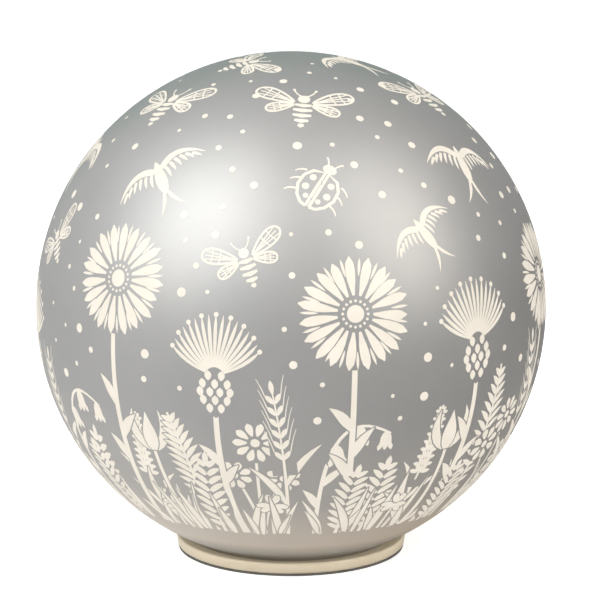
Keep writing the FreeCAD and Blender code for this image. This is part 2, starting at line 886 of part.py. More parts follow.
def timer_chip():
    """Moulded body with a row of feet along each long side."""
    x, y = on_board(chip_place_shares)
    pieces = [block(chip_width, chip_length, board_top, board_top + chip_height, x, y)]
    foot_pitch = chip_length / chip_feet_per_side
    for side in (-1, 1):
        foot_x = x + side * (chip_width + chip_foot_reach) / 2
        for foot in range(chip_feet_per_side):
            foot_y = y + (foot - (chip_feet_per_side - 1) / 2) * foot_pitch
            pieces.append(
                block(chip_foot_reach, chip_foot_width, board_top, board_top + chip_foot_height, foot_x, foot_y)
            )
    return fused(pieces)


def boost_coil():
    """Drum core with its winding drawn in between two flanges."""
    x, y = on_board(coil_place_shares)
    top = board_top + coil_height
    shape = spun([
        (0, board_top),
        (coil_radius, board_top),
        (coil_radius, board_top + coil_flange),
        (coil_core_radius, board_top + coil_flange),
        (coil_core_radius, top - coil_flange),
        (coil_radius, top - coil_flange),
        (coil_radius, top),
        (0, top),
    ])
    return shape.translated(Vector(x, y, 0))


def storage_capacitor():
    x, y = on_board(capacitor_place_shares)
    top = board_top + capacitor_height
    shape = spun([
        (0, board_top),
        (capacitor_radius, board_top),
        (capacitor_radius, board_top + capacitor_edge),
        (capacitor_radius - capacitor_edge / 2, board_top + 2 * capacitor_edge),
        (capacitor_radius, board_top + 3 * capacitor_edge),
        corner_arc((capacitor_radius - capacitor_edge, top - capacitor_edge), capacitor_edge, 0, 90),
        (0, top),
    ])
    return shape.translated(Vector(x, y, 0))


def board_resistors():
    chips = []
    for shares in resistor_place_shares:
        x, y = on_board(shares)
        chips.append(block(resistor_length, resistor_width, board_top, board_top + resistor_height, x, y))
    return chips


def led_board():
    shape = cylinder(led_board_radius, led_board_bottom, led_board_top)
    for side in (-1, 1):
        x = side * led_screw_reach
        hole = cylinder(led_screw_radius, led_board_bottom - overrun, led_board_top + overrun, x, 0)
        shape = shape.cut(hole)
    return shape


def led_board_screws():
    screws = []
    for side in (-1, 1):
        shape = pan_screw(led_screw_radius, led_screw_length, led_screw_head_radius, led_screw_head_height)
        screws.append(shape.translated(Vector(side * led_screw_reach, 0, led_board_top)))
    return screws


def leds():
    """Ring of round LEDs with flanges and domed lenses."""
    base = led_board_top
    lens = base + led_flange_height + led_body_height
    one = spun([
        (0, base),
        (led_flange_radius, base),
        (led_flange_radius, base + led_flange_height),
        (led_radius, base + led_flange_height),
        corner_arc((0, lens), led_radius, 0, 90),
    ])
    ring = []
    for number in range(led_count):
        x, y = at_angle(led_ring_radius, 360 * (number + 1 / 2) / led_count)
        ring.append(one.translated(Vector(x, y, 0)))
    return ring


def led_diffuser():
    """Frosted dome with a straight skirt that stands on the cap."""
    skirt_top = cap_top + dome_skirt
    inner = dome_radius - dome_wall
    return spun([
        (inner, cap_top),
        (dome_radius, cap_top),
        corner_arc((0, skirt_top), dome_radius, 0, 90),
        corner_arc((0, skirt_top), inner, 90, 0),
    ])


def battery_leads():
    """One wire from each solder tab over the edge of the driver board."""
    wires = []
    for side in (-1, 1):
        x = side * cell_pitch
        tab_y = bay_half - contact_thickness / 2
        pad_y = math.sqrt(board_radius ** 2 - x ** 2) - pad_inset
        crest = board_top + lead_rise
        wires.append(lead([
            (x, side * tab_y, tab_top),
            (x, side * tab_y, crest),
            (x, side * pad_y, crest),
            (x, side * pad_y, board_top),
        ], lead_radius))
    return wires


def switch_leads():
    """Three wires from the switch's pins up through the roof and over to the board."""
    wires = []
    crest = board_top + lead_rise
    pad_x = board_radius - 2 * pad_inset
    for place in (-1, 0, 1):
        y = place * pin_pitch
        wires.append(lead([
            (switch_x, y, switch_top + pin_height),
            (switch_x, y, crest),
            (pad_x, y, crest),
            (pad_x, y, board_top),
        ], lead_radius))
    return wires


def led_leads():
    """Pair of wires from the driver board through the cap to the LED board."""
    wires = []
    crest = board_top + (cap_inner_top - board_top) * led_lead_height_share
    for side in (-1, 1):
        x, y = on_board(led_lead_start_shares)
        wires.append(lead([
            (side * x, y, board_top),
            (side * x, y, crest),
            (side * led_lead_spread, 0, crest),
            (side * led_lead_spread, 0, led_board_bottom),
        ], lead_radius))
    return wires


def save(name, made):
    solids = made if isinstance(made, list) else [made]
    shape = solids[0] if len(solids) == 1 else Part.makeCompound(solids)
    print(name, len(shape.Solids), "solids", round(shape.Volume), "mm3", "valid" if shape.isValid() else "broken")
    shape.exportStep("parts/" + name + ".step")


os.makedirs("parts", exist_ok=True)
print("ball centre", round(globe_centre, 2), "base radius", round(base_radius, 2))
print("least gap between the turns of a spring", round(spring_self_gap(), 2))
save("foot_ring", foot_ring())
save("base_housing", base_housing())
save("glass_globe", glass_globe())
save("globe_seal", globe_seal())
save("cell_left", laid_cell(-1))
save("cell_middle", laid_cell(0))
save("cell_right", laid_cell(1))
save("positive_contact", positive_contact())
save("negative_contact", negative_contact())
save("link_contacts", link_contacts())
save("contact_springs", contact_springs())
save("battery_door", battery_door())
save("door_gasket", door_gasket())
save("door_screw_front", door_screw(-1))
save("door_screw_rear", door_screw(1))
save("switch_body", switch_body())
save("switch_slider", switch_slider())
save("switch_screws", switch_screws())
save("electronics_cap", electronics_cap())
save("cap_screws", cap_screws())
save("control_board", control_board())
save("board_screws", board_screws())
save("timer_chip", timer_chip())
save("boost_coil", boost_coil())
save("storage_capacitor", storage_capacitor())
save("board_resistors", board_resistors())
save("led_board", led_board())
save("led_board_screws", led_board_screws())
save("leds", leds())
save("led_diffuser", led_diffuser())
save("battery_leads", battery_leads())
save("switch_leads", switch_leads())
save("led_leads", led_leads())
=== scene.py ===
import math
import random

import bpy
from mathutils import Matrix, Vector
from mathutils.geometry import delaunay_2d_cdt


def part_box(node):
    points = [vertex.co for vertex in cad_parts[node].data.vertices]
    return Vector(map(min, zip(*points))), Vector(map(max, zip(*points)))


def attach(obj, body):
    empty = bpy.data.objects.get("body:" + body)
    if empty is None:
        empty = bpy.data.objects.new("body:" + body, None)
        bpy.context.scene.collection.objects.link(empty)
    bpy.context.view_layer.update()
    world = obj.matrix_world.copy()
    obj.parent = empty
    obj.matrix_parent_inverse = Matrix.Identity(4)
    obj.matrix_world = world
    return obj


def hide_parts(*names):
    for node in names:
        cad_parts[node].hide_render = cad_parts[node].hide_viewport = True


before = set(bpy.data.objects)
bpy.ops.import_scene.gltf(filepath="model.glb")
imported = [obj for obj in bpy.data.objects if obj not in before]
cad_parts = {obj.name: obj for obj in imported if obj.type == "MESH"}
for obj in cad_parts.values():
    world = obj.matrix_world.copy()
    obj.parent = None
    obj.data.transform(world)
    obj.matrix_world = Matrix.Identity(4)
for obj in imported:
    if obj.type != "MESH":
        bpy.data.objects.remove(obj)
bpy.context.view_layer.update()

mm = 0.001
bpy.ops.object.select_all(action='DESELECT')

# Sizes that the rest hangs on, read from the frame
globeLow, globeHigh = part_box("glass_globe")
ballRadius = min(globeHigh[0] - globeLow[0], globeHigh[1] - globeLow[1]) / 2
ballMiddle = Vector((0, 0, globeHigh[2] - ballRadius))

# Materials

texture = {
    "patchDetail": 4,
    "patchEdges": (0.35, 0.65),   # levels of the noise where each of the two colours is pure
    "grainDetail": 5,
}


def feed(tree, node, sockets):
    # each socket takes another node's output, a colour or a number
    for socket, value in sockets.items():
        if isinstance(value, bpy.types.NodeSocket):
            tree.links.new(value, node.inputs[socket])
        elif isinstance(value, tuple):
            node.inputs[socket].default_value = (*value, 1)
        else:
            node.inputs[socket].default_value = value


def addNode(tree, kind, sockets=(), **settings):
    node = tree.nodes.new("ShaderNode" + kind)
    for key, value in settings.items():
        setattr(node, key, value)
    feed(tree, node, dict(sockets))
    return node.outputs


def compute(tree, operation, *values):
    return addNode(tree, "Math", enumerate(values), operation=operation)["Value"]


def ownPlace(tree):
    # where a point lies in the object's own space, so that a pattern goes along with its object
    return addNode(tree, "TexCoord")["Object"]


def addNoise(tree, scale, detail):
    return addNode(tree, "TexNoise", {"Vector": ownPlace(tree), "Scale": scale, "Detail": detail})["Fac"]


def mottle(tree, shader, look):
    # two close colours, mixed in soft patches
    ramp = tree.nodes.new("ShaderNodeValToRGB")
    colors = (look["color"], look["otherColor"])
    for element, edge, color in zip(ramp.color_ramp.elements, texture["patchEdges"], colors):
        element.position = edge
        element.color = (*color, 1)
    feed(tree, ramp, {"Fac": addNoise(tree, look["patch"], texture["patchDetail"])})
    feed(tree, shader, {"Base Color": ramp.outputs["Color"]})


def roughen(tree, shader, look):
    # fine grain in the gloss and in the surface
    noise = addNoise(tree, look["grain"], texture["grainDetail"])
    middle, spread = look["roughness"], look["roughnessSpread"]
    gloss = addNode(tree, "MapRange", {"Value": noise, "To Min": middle - spread, "To Max": middle + spread})
    bump = addNode(tree, "Bump", {"Height": noise, "Strength": look["bump"], "Distance": look["bumpDepth"]})
    feed(tree, shader, {"Roughness": gloss["Result"], "Normal": bump["Normal"]})


def byHeight(tree, heights, values):
    # number that goes evenly from one value to another between two heights
    split = addNode(tree, "SeparateXYZ", {"Vector": ownPlace(tree)})
    return addNode(tree, "MapRange", {
        "Value": split["Z"], "From Min": heights[0], "From Max": heights[1],
        "To Min": values[0], "To Max": values[1]})["Result"]


def newMaterial(name):
    material = bpy.data.materials.new(name)
    material.use_nodes = True
    return material, material.node_tree, material.node_tree.nodes["Principled BSDF"]


def startMaterial(name, look):
    material, tree, shader = newMaterial(name)
    metallic = look.get("metallic", 0)
    feed(tree, shader, {"Base Color": look["color"], "Roughness": look["roughness"], "Metallic": metallic})
    if "otherColor" in look:
        mottle(tree, shader, look)
    roughen(tree, shader, look)
    return material, tree, shader


def makeFinish(name, look):
    material, tree, shader = startMaterial(name, look)
    # painted glow: emission whose strength changes evenly between two heights
    if "glow" in look:
        strength = byHeight(tree, look["glowHeights"], look["glowStrengths"])
        feed(tree, shader, {"Emission Color": look["glow"], "Emission Strength": strength})
    return material


lacquerLook = {
    "color": (0.322, 0.326, 0.327),
    "otherColor": (0.345, 0.347, 0.346),
    "roughness": 0.52,
    "roughnessSpread": 0.03,
    "metallic": 0.7,
    "patch": 22,
    "grain": 1400,
    "bump": 0.035,
    "bumpDepth": 0.2 * mm,
    "paintedNeckGlow": (1.0, 0.76, 0.5),    # painted glow: emission in the lacquer around the neck stands in for light from the base
    "paintedNeckGlowStrength": 0.23,
    # heights in mm, and the share of that painted glow there
    "paintedGlowShares": ((8, 0.12), (12.5, 0.6), (16, 1), (22, 0.87), (38, 0.28), (75, 0)),
}


def makeLacquer():
    material, tree, shader = startMaterial("satinLacquer", lacquerLook)
    # painted glow: the lacquer emits warm light round the neck, strongest about 16 mm up and none from 75 mm
    # up
    stops = lacquerLook["paintedGlowShares"]
    top = stops[-1][0]
    ramp = tree.nodes.new("ShaderNodeValToRGB")
    elements = ramp.color_ramp.elements
    while len(elements) < len(stops):
        elements.new(0.5)
    for element, (height, share) in zip(elements, stops):
        element.position = height / top
        element.color = (*[share * lacquerLook["paintedNeckGlowStrength"]] * 3, 1)
    feed(tree, ramp, {"Fac": byHeight(tree, (0, top * mm), (0, 1))})
    feed(tree, shader, {
        "Emission Color": lacquerLook["paintedNeckGlow"], "Emission Strength": ramp.outputs["Color"]})
    return material


# frosted glass between the lacquer, with a painted glow: emission stands in for the light from inside,
# brightest near the base
windowLook = {
    "color": (0.45, 0.425, 0.375),
    "otherColor": (0.49, 0.465, 0.415),
    "roughness": 0.5,
    "roughnessSpread": 0.05,
    "patch": 90,
    "grain": 900,
    "bump": 0.05,
    "bumpDepth": 0.2 * mm,
    # painted glow, stronger near the base than at the top
    "glow": (1.0, 0.93, 0.82),
    "glowHeights": (10 * mm, 120 * mm),
    "glowStrengths": (0.29, 0.2),
}


def plasticLook(color, otherColor, roughness, patch=60, grain=2200, bump=0.12):
    return {"color": color, "otherColor": otherColor, "roughness": roughness, "roughnessSpread": 0.06,
            "patch": patch, "grain": grain, "bump": bump, "bumpDepth": 0.08 * mm}


def metalLook(color, otherColor, roughness, patch=250, grain=900, bump=0.08):
    return {**plasticLook(color, otherColor, roughness, patch, grain, bump), "metallic": 1.0}


looks = {
    "creamPlastic": plasticLook((0.72, 0.635, 0.485), (0.76, 0.68, 0.53), 0.4),
    "whitePlastic": plasticLook((0.82, 0.82, 0.79), (0.86, 0.86, 0.84), 0.4),
    "blackPlastic": plasticLook((0.02, 0.02, 0.022), (0.035, 0.035, 0.036), 0.45),
    # dark grey ring along the bottom edge of the base
    "darkFootRing": plasticLook((0.12, 0.117, 0.112), (0.16, 0.156, 0.15), 0.85, 120, 1500, 0.4),
    "milkySilicone": plasticLook((0.7, 0.7, 0.66), (0.76, 0.76, 0.73), 0.35),
    "greySilicone": plasticLook((0.24, 0.24, 0.25), (0.29, 0.29, 0.3), 0.6),
    "platedSteel": metalLook((0.70, 0.68, 0.62), (0.76, 0.74, 0.69), 0.28),
    "springSteel": metalLook((0.62, 0.62, 0.60), (0.7, 0.7, 0.68), 0.25),
    "screwSteel": metalLook((0.52, 0.52, 0.54), (0.63, 0.63, 0.64), 0.33),
    "greenBoard": plasticLook((0.012, 0.13, 0.045), (0.02, 0.17, 0.06), 0.3, 300),
    "whiteBoard": plasticLook((0.8, 0.8, 0.79), (0.84, 0.84, 0.83), 0.3, 300),
    "ferrite": plasticLook((0.05, 0.05, 0.055), (0.08, 0.08, 0.08), 0.7, 300),
    "capacitorCan": metalLook((0.7, 0.71, 0.73), (0.77, 0.78, 0.8), 0.25),
    "frostedPlastic": plasticLook((0.86, 0.86, 0.82), (0.9, 0.9, 0.87), 0.55),
    "redWire": plasticLook((0.45, 0.02, 0.02), (0.52, 0.03, 0.03), 0.45),
    "blackWire": plasticLook((0.018, 0.018, 0.018), (0.03, 0.03, 0.03), 0.45),
    "whiteWire": plasticLook((0.75, 0.75, 0.72), (0.8, 0.8, 0.78), 0.45),
    "litWindow": windowLook,
}

# painted glow on the rim of the base: emission stands in for light from the ball, rising towards the top of
# the rim
looks["creamPlastic"].update(
    glow=(1.0, 0.84, 0.58), glowHeights=(1.5 * mm, 5.2 * mm), glowStrengths=(0, 0.1))

cellLook = {
    "color": (0.10, 0.11, 0.13),
    "band": (0.55, 0.57, 0.58),
    "bandFrom": 0.6,      # share of the half length where the pale band starts
    "roughness": 0.3,
    "roughnessSpread": 0.04,
    "grain": 1500,
    "bump": 0.03,
    "bumpDepth": 0.1 * mm,
}


def makeCellSleeve(name, facing):
    # dark sleeve with a pale band at the nub end
    material, tree, shader = startMaterial("cellSleeve" + name, cellLook)
    low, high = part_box("cell_left")
    edge = cellLook["bandFrom"] * float(high[1] - low[1]) / 2
    split = addNode(tree, "SeparateXYZ", {"Vector": ownPlace(tree)})
    past = compute(tree, 'GREATER_THAN', compute(tree, 'MULTIPLY', split["Y"], facing), edge)
    band = addNode(tree, "Mix", {
        "Factor": past, "A": cellLook["color"], "B": cellLook["band"]}, data_type='RGBA')
    feed(tree, shader, {"Base Color": band["Result"]})
    return material


lensLook = {
    "color": (0.95, 0.82, 0.55),
    "otherColor": (1.0, 0.9, 0.7),
    "roughness": 0.12,
    "roughnessSpread": 0.03,
    "patch": 300,
    "grain": 900,
    "bump": 0.02,
    "bumpDepth": 0.1 * mm,
    "glowStrength": 2.0,
}


def makeLens():
    material, tree, shader = startMaterial("warmLens", lensLook)
    feed(tree, shader, {
        "Emission Color": lensLook["otherColor"], "Emission Strength": lensLook["glowStrength"]})
    return material


finishes = {name: makeFinish(name, look) for name, look in looks.items()}
finishes["satinLacquer"] = makeLacquer()
finishes["warmLens"] = makeLens()
finishes["cellForward"] = makeCellSleeve("Forward", 1)
finishes["cellBack"] = makeCellSleeve("Back", -1)

finishedNodes = {
    "darkFootRing": ("foot_ring",),
    "creamPlastic": ("base_housing", "battery_door"),
    "satinLacquer": ("glass_globe",),
    "milkySilicone": ("globe_seal",),
    "cellForward": ("cell_left", "cell_right"),
    "cellBack": ("cell_middle",),
    "platedSteel": ("positive_contact", "negative_contact", "link_contacts", "switch_body"),
    "springSteel": ("contact_springs",),
    "greySilicone": ("door_gasket",),
    "screwSteel": ("door_screw_front", "door_screw_rear", "switch_screws", "cap_screws", "board_screws",
                   "led_board_screws"),
    "blackPlastic": ("switch_slider", "timer_chip", "board_resistors"),
    "whitePlastic": ("electronics_cap",),
    "greenBoard": ("control_board",),
    "ferrite": ("boost_coil",),
    "capacitorCan": ("storage_capacitor",),
    "whiteBoard": ("led_board",),
    "warmLens": ("leds",),
    "frostedPlastic": ("led_diffuser",),
    "redWire": ("battery_leads",),
    "blackWire": ("switch_leads",),
    "whiteWire": ("led_leads",),
}

for finish, nodes in finishedNodes.items():
    for node in nodes:
        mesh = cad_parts[node].data
        mesh.materials.clear()
        mesh.materials.append(finishes[finish])
print("finishes on", sum(len(nodes) for nodes in finishedNodes.values()), "parts of the frame")

# The glass ball

ball = {
    "segments": 224,
    "rings": 112,
    "sunk": 0.16 * mm,       # the lacquer lies this far inside the ball of the frame
    "wall": 2.0 * mm,
    "cutOutside": 0.3 * mm,  # the ball is cut open this far outside the neck's first loop
    "smoothAngle": 50,
    # radius and height in mm of the loops from the ball down into the neck
    "neckLoops": [(40.15, 4.95), (39.75, 4.45), (39.52, 3.9), (39.48, 3.3), (39.3, 2.85), (38.9, 2.62)],
}


def giveWall(piece, thickness, smoothAngle):
    # the active piece's face becomes a wall that grows inwards
    wall = piece.modifiers.new("wall", 'SOLIDIFY')
    wall.thickness = thickness
    wall.offset = -1
    bpy.ops.object.modifier_apply(modifier="wall")
    bpy.ops.object.shade_smooth_by_angle(angle=math.radians(smoothAngle))


def makeBall():
    radius = ballRadius - ball["sunk"]
    bpy.ops.mesh.primitive_uv_sphere_add(
        segments=ball["segments"], ring_count=ball["rings"], radius=radius, location=ballMiddle)
    shell = bpy.context.object
    shell.name = "lacqueredBall"
    bpy.ops.object.transform_apply(location=True, rotation=True, scale=True)
    bpy.ops.object.mode_set(mode='EDIT')
    bpy.ops.mesh.select_all(action='SELECT')
    loopRadius = ball["neckLoops"][0][0] * mm + ball["cutOutside"]
    loopHeight = ballMiddle.z - math.sqrt(radius ** 2 - loopRadius ** 2)
    bpy.ops.mesh.bisect(plane_co=(0, 0, loopHeight), plane_no=(0, 0, 1), clear_inner=True)
    for nextRadius, nextHeight in ball["neckLoops"]:
        drop = nextHeight * mm - loopHeight
        grow = nextRadius * mm / loopRadius
        bpy.ops.mesh.extrude_region_move(TRANSFORM_OT_translate={"value": (0, 0, drop)})
        bpy.ops.transform.resize(value=(grow, grow, 1), center_override=(0, 0, nextHeight * mm))
        loopRadius, loopHeight = nextRadius * mm, nextHeight * mm
    bpy.ops.mesh.select_all(action='SELECT')
    bpy.ops.mesh.normals_make_consistent(inside=False)
    bpy.ops.object.mode_set(mode='OBJECT')
    giveWall(shell, ball["wall"], ball["smoothAngle"])
    shell.data.materials.append(finishes["satinLacquer"])
    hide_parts("glass_globe")
    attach(shell, "root")
    bpy.ops.object.select_all(action='DESELECT')


makeBall()
print("ball blown, radius", round(ballRadius / mm, 2), "mm")

# The picture: windows left free in the lacquer, drawn flat in millimetres and laid on the ball

picture = {
    "seed": 20,
    "ground": -47.0,         # degrees of latitude that the stems start from
    "lift": 0.06,            # the windows' face over the lacquer
    "thickness": 0.05,
    "rim": 0.5,              # lacquer kept round a plant that stands before others
    "rimEnds": 0.7,          # share of a band's width that its rim ends with
    "wideBand": 1.6,         # half width from which a band has points along its middle
    "strips": 72,            # the drawn page is cut in this many upright strips
    "sidePoints": 100,       # steps up each side of a strip
    "weld": 0.0005,          # points nearer than this become one
    "smoothAngle": 40,
}

luck = random.Random(picture["seed"])
pictureRadius = (ballRadius - ball["sunk"]) / mm


def within(limits):
    return luck.uniform(*limits)


def sway(amount):
    return luck.uniform(-amount, amount)


def spot(page, lon, lat, turn=0, size=1, lies="round"):
    # where a motif is drawn and on which page: degrees round and up the ball, and its lean
    return {"page": page, "lon": math.radians(lon), "lat": math.radians(lat), "turn": math.radians(turn),
            "size": size, "lies": lies}


def outward(lon, lat):
    return Vector((math.sin(lon) * math.cos(lat), -math.cos(lon) * math.cos(lat), math.sin(lat)))


def onBall(place, x, y):
    # unit direction of a flat point of a motif that lies round its own middle
    x, y = x * place["size"], y * place["size"]
    across = x * math.cos(place["turn"]) - y * math.sin(place["turn"])
    along = x * math.sin(place["turn"]) + y * math.cos(place["turn"])
    reach = math.hypot(across, along)
    middle = outward(place["lon"], place["lat"])
    if reach < 1e-6:
        return middle
    east = Vector((math.cos(place["lon"]), math.sin(place["lon"]), 0))
    north = middle.cross(east)
    bearing = (east * across + north * along) / reach
    angle = reach / pictureRadius
    return middle * math.cos(angle) + bearing * math.sin(angle)


def upFrom(place, x, y):
    # longitude and latitude of a point of an upright plant
    lat = place["lat"] + y / pictureRadius
    return place["lon"] + x / (pictureRadius * math.cos(lat)), lat


def spotUp(place, point, turn):
    lon, lat = upFrom(place, *point)
    return spot(place["page"], math.degrees(lon), math.degrees(lat), turn)


def onPage(place, x, y):
    # a point of a motif on its flat page: for the whole ball, in millimetres at its equator
    if place["lies"] == "flat":
        return Vector((x, y))
    if place["lies"] == "upright":
        lon, lat = upFrom(place, x, y)
    else:
        direction = onBall(place, x, y)
        lat = math.asin(direction.z)
        lon = math.atan2(direction.x, -direction.y)
        lon += 2 * math.pi * round((place["lon"] - lon) / (2 * math.pi))
    return Vector((lon * pictureRadius, lat * pictureRadius))


def newPage(kind="leaves"):
    return {"shapes": [], "row": 0, "kind": kind, "heads": []}


def nextRow(place, kind="flowers"):
    # what is drawn next stands in front of all before it
    place["page"]["row"] += 1
    place["page"]["kind"] = kind


def addOutline(place, outline, inner, kind):
    # shape of a kind, or lacquer (no kind) that lies behind the shapes of its own row
    page = place["page"]
    page["shapes"].append({
        "outline": [onPage(place, x, y) for x, y in outline],
        "inner": [onPage(place, x, y) for x, y in inner],
        "order": 2 * page["row"] + (1 if kind else 0), "kind": kind})


def keepClear(place, outline):
    # lacquer stays over whatever the rows before have here
    addOutline(place, outline, (), None)


def addShape(place, outline, inner, rim):
    addOutline(place, outline, inner, place["page"]["kind"])
    if rim:
        keepClear(place, rim)


def bandOutline(path, halves):
    # both sides of a band along a path
    left, right = [], []
    for i, (x, y) in enumerate(path):
        before, after = path[max(i - 1, 0)], path[min(i + 1, len(path) - 1)]
        dx, dy = after[0] - before[0], after[1] - before[1]
        length = math.hypot(dx, dy) or 1
        nx, ny = -dy / length * halves[i], dx / length * halves[i]
        left.append((x + nx, y + ny))
        right.append((x - nx, y - ny))
    return left + right[::-1]


def longerPath(path, extra):
    # the same path, drawn on a little at both ends
    ends = []
    for here, inward in ((path[0], path[1]), (path[-1], path[-2])):
        dx, dy = here[0] - inward[0], here[1] - inward[1]
        length = math.hypot(dx, dy) or 1
        ends.append((here[0] + dx / length * extra, here[1] + dy / length * extra))
    return [ends[0], *path, ends[1]]


def addBand(place, path, halves, rim=False):
    edge, ends = picture["rim"], picture["rimEnds"]
    rimHalves = [half + edge for half in halves]
    rimHalves = [rimHalves[0] * ends, *rimHalves, rimHalves[-1] * ends]
    addShape(place, bandOutline(path, halves), path[1:-1] if max(halves) > picture["wideBand"] else (),
             bandOutline(longerPath(path, edge), rimHalves) if rim else None)


def roundOutline(x, y, radius, corners=14, squash=1):
    angles = [2 * math.pi * i / corners for i in range(corners)]
    return [(x + radius * math.cos(angle), y + radius * squash * math.sin(angle)) for angle in angles]


def addRound(place, x, y, radius, corners=14, squash=1, rim=False):
    addShape(place, roundOutline(x, y, radius, corners, squash), [(x, y)],
             roundOutline(x, y, radius + picture["rim"], corners, squash) if rim else None)


def addHoop(place, path, half):
    # closed line, made of two bands that meet
    middle = len(path) // 2
    for part in (path[:middle + 1], path[middle:] + path[:1]):
        addBand(place, part, [half] * len(part))


def curve(start, pull, end, steps=10):
    # smooth bow from start to end, drawn towards the pull point
    path = []
    for i in range(steps + 1):
        t = i / steps
        path.append(tuple((1 - t) ** 2 * a + 2 * t * (1 - t) * b + t * t * c
                          for a, b, c in zip(start, pull, end)))
    return path


def widthsAlong(path, shares, half):
    # half widths at every point of a path, from a few shares of the widest
    widths = []
    for i in range(len(path)):
        at = i / (len(path) - 1) * (len(shares) - 1)
        low = min(int(at), len(shares) - 2)
        widths.append(half * (shares[low] + (at - low) * (shares[low + 1] - shares[low])))
    return widths


def keepBandClear(place, path, extra, shares, half):
    longer = longerPath(path, extra)
    keepClear(place, bandOutline(longer, widthsAlong(longer, shares, half)))


petalShares = (0.25, 0.5, 0.78, 0.95, 1.0, 0.86, 0.12)
leafShares = (0.12, 0.62, 0.95, 1.0, 0.82, 0.5, 0.04)
grainShares = (0.2, 0.8, 1.0, 0.85, 0.06)
stemShares = (1.15, 1.0, 0.9, 0.8)
cloverShares = (0.2, 0.7, 1.0, 0.95, 0.5)


def addBlade(place, start, end, half, bow=0, shares=leafShares, steps=6, rim=False):
    # pointed or round tongue from start to end, bowed to one side
    dx, dy = end[0] - start[0], end[1] - start[1]
    middle = ((start[0] + end[0]) / 2 - dy * bow, (start[1] + end[1]) / 2 + dx * bow)
    path = curve(start, middle, end, steps)
    addBand(place, path, widthsAlong(path, shares, half), rim)


def polar(radius, degrees):
    angle = math.radians(degrees)
    return radius * math.cos(angle), radius * math.sin(angle)


def shifted(point, radius, degrees):
    dx, dy = polar(radius, degrees)
    return point[0] + dx, point[1] + dy


def addRay(place, middle, heading, near, far, half, **shape):
    # blade that points away from a middle
    addBlade(place, shifted(middle, near, heading), shifted(middle, far, heading), half, **shape)


def startPlant(page, lon):
    place = spot(page, lon, picture["ground"], lies="upright")
    nextRow(place, "leaves")
    return place


def drawStem(place, top, half, pull=0):
    path = curve((0, 0), (pull, top[1] * 0.55), top, 18)
    addBand(place, path, widthsAlong(path, stemShares, half), rim=True)
    return path


def tipOf(place, path):
    # spot at the end of an upright path, turned the way the stem points
    dx, dy = path[-1][0] - path[-2][0], path[-1][1] - path[-2][1]
    return spotUp(place, path[-1], math.degrees(math.atan2(-dx, dy)))


def alongPath(path, share):
    # point at a share of the path, and the way it heads there
    at = share * (len(path) - 1)
    low = min(int(at), len(path) - 2)
    (x0, y0), (x1, y1) = path[low], path[low + 1]
    part = at - low
    return (x0 + part * (x1 - x0), y0 + part * (y1 - y0)), math.degrees(math.atan2(y1 - y0, x1 - x0))


leafing = dict(length=(0.85, 1.1), turn=(28, 40), bow=0.16)


def stemLeaves(place, path, plant):
    for i, share in enumerate(plant.get("leaves", ())):
        point, heading = alongPath(path, share)
        side = 1 if i % 2 else -1
        length = plant["leafLength"] * within(leafing["length"])
        heading -= side * within(leafing["turn"])
        addRay(place, point, heading, 0, length, plant["leafHalf"], bow=leafing["bow"] * side, rim=True)


def swayingPlant(page, lon, plant):
    # stem whose top and bow sway each on their own, with its leaves
    place = startPlant(page, lon)
    top = (sway(plant["lean"]), within(plant["height"]))
    path = drawStem(place, top, plant["stem"], sway(plant["bow"]))
    stemLeaves(place, path, plant)
    return place, path


def leaningPlant(page, lon, plant):
    # stem that bows by a share of its lean, with its leaves
    place = startPlant(page, lon)
    height, lean = within(plant["height"]), sway(plant["lean"])
    path = drawStem(place, (lean, height), plant["stem"], lean * plant["bow"])
    stemLeaves(place, path, plant)
    return place, path


# The plants: lengths in mm, the places of leaves as shares of the stem, parts of a head as shares of its size

daisy = dict(
    height=(97, 111), lean=7, bow=9, stem=1.15,
    leaves=(0.3, 0.4, 0.52), leafLength=15, leafHalf=1.9,
    radius=(18.5, 21), clear=0.99,
    petals=19, petalFrom=0.32, petalTo=(0.95, 1.03), petalHalf=0.086,
    petalTurn=1.5, petalBow=0.04,
    slitFrom=0.66, slitTo=0.98, slitHalf=0.026,
    eye=0.155, dots=16, dotRing=0.228, dotRadius=0.027,
)


def daisyHead(place, radius):
    # open flower seen from the front: two rows of narrow petals round a dotted eye
    nextRow(place)
    keepClear(place, roundOutline(0, 0, radius * daisy["clear"], 36))
    place["page"]["heads"].append((onBall(place, 0, 0), radius))
    for i in range(daisy["petals"]):
        angle = 360 * i / daisy["petals"] + sway(daisy["petalTurn"])
        reach = radius * within(daisy["petalTo"])
        addRay(place, (0, 0), angle, radius * daisy["petalFrom"], reach, radius * daisy["petalHalf"],
               bow=sway(daisy["petalBow"]), shares=petalShares)
        addRay(place, (0, 0), angle + 180 / daisy["petals"], radius * daisy["slitFrom"],
               radius * daisy["slitTo"], radius * daisy["slitHalf"], shares=grainShares, steps=4)
    addRound(place, 0, 0, radius * daisy["eye"], 20)
    for i in range(daisy["dots"]):
        x, y = polar(radius * daisy["dotRing"], 360 * i / daisy["dots"])
        addRound(place, x, y, radius * daisy["dotRadius"], 7)


def tallDaisy(page, lon):
    place, path = swayingPlant(page, lon, daisy)
    daisyHead(tipOf(place, path), within(daisy["radius"]))


smallDaisies = dict(
    stems=((-1, 36), (1, 31), (0, 50)),   # side and height of each
    reach=(8, 11), higher=(-3, 4), stem=0.6, bow=1.5,
    radius=(6.5, 8.5), clear=1.06, petals={-1: 8, 1: 8, 0: 10},
    petalFrom=0.36, petalWidth=1.75, eye=0.21,
)


def smallDaisy(place, radius, petals):
    nextRow(place)
    keepClear(place, roundOutline(0, 0, radius * smallDaisies["clear"], 20))
    for i in range(petals):
        addRay(place, (0, 0), 360 * i / petals, radius * smallDaisies["petalFrom"], radius,
               radius * smallDaisies["petalWidth"] / petals, shares=petalShares, steps=5)
    addRound(place, 0, 0, radius * smallDaisies["eye"], 12)


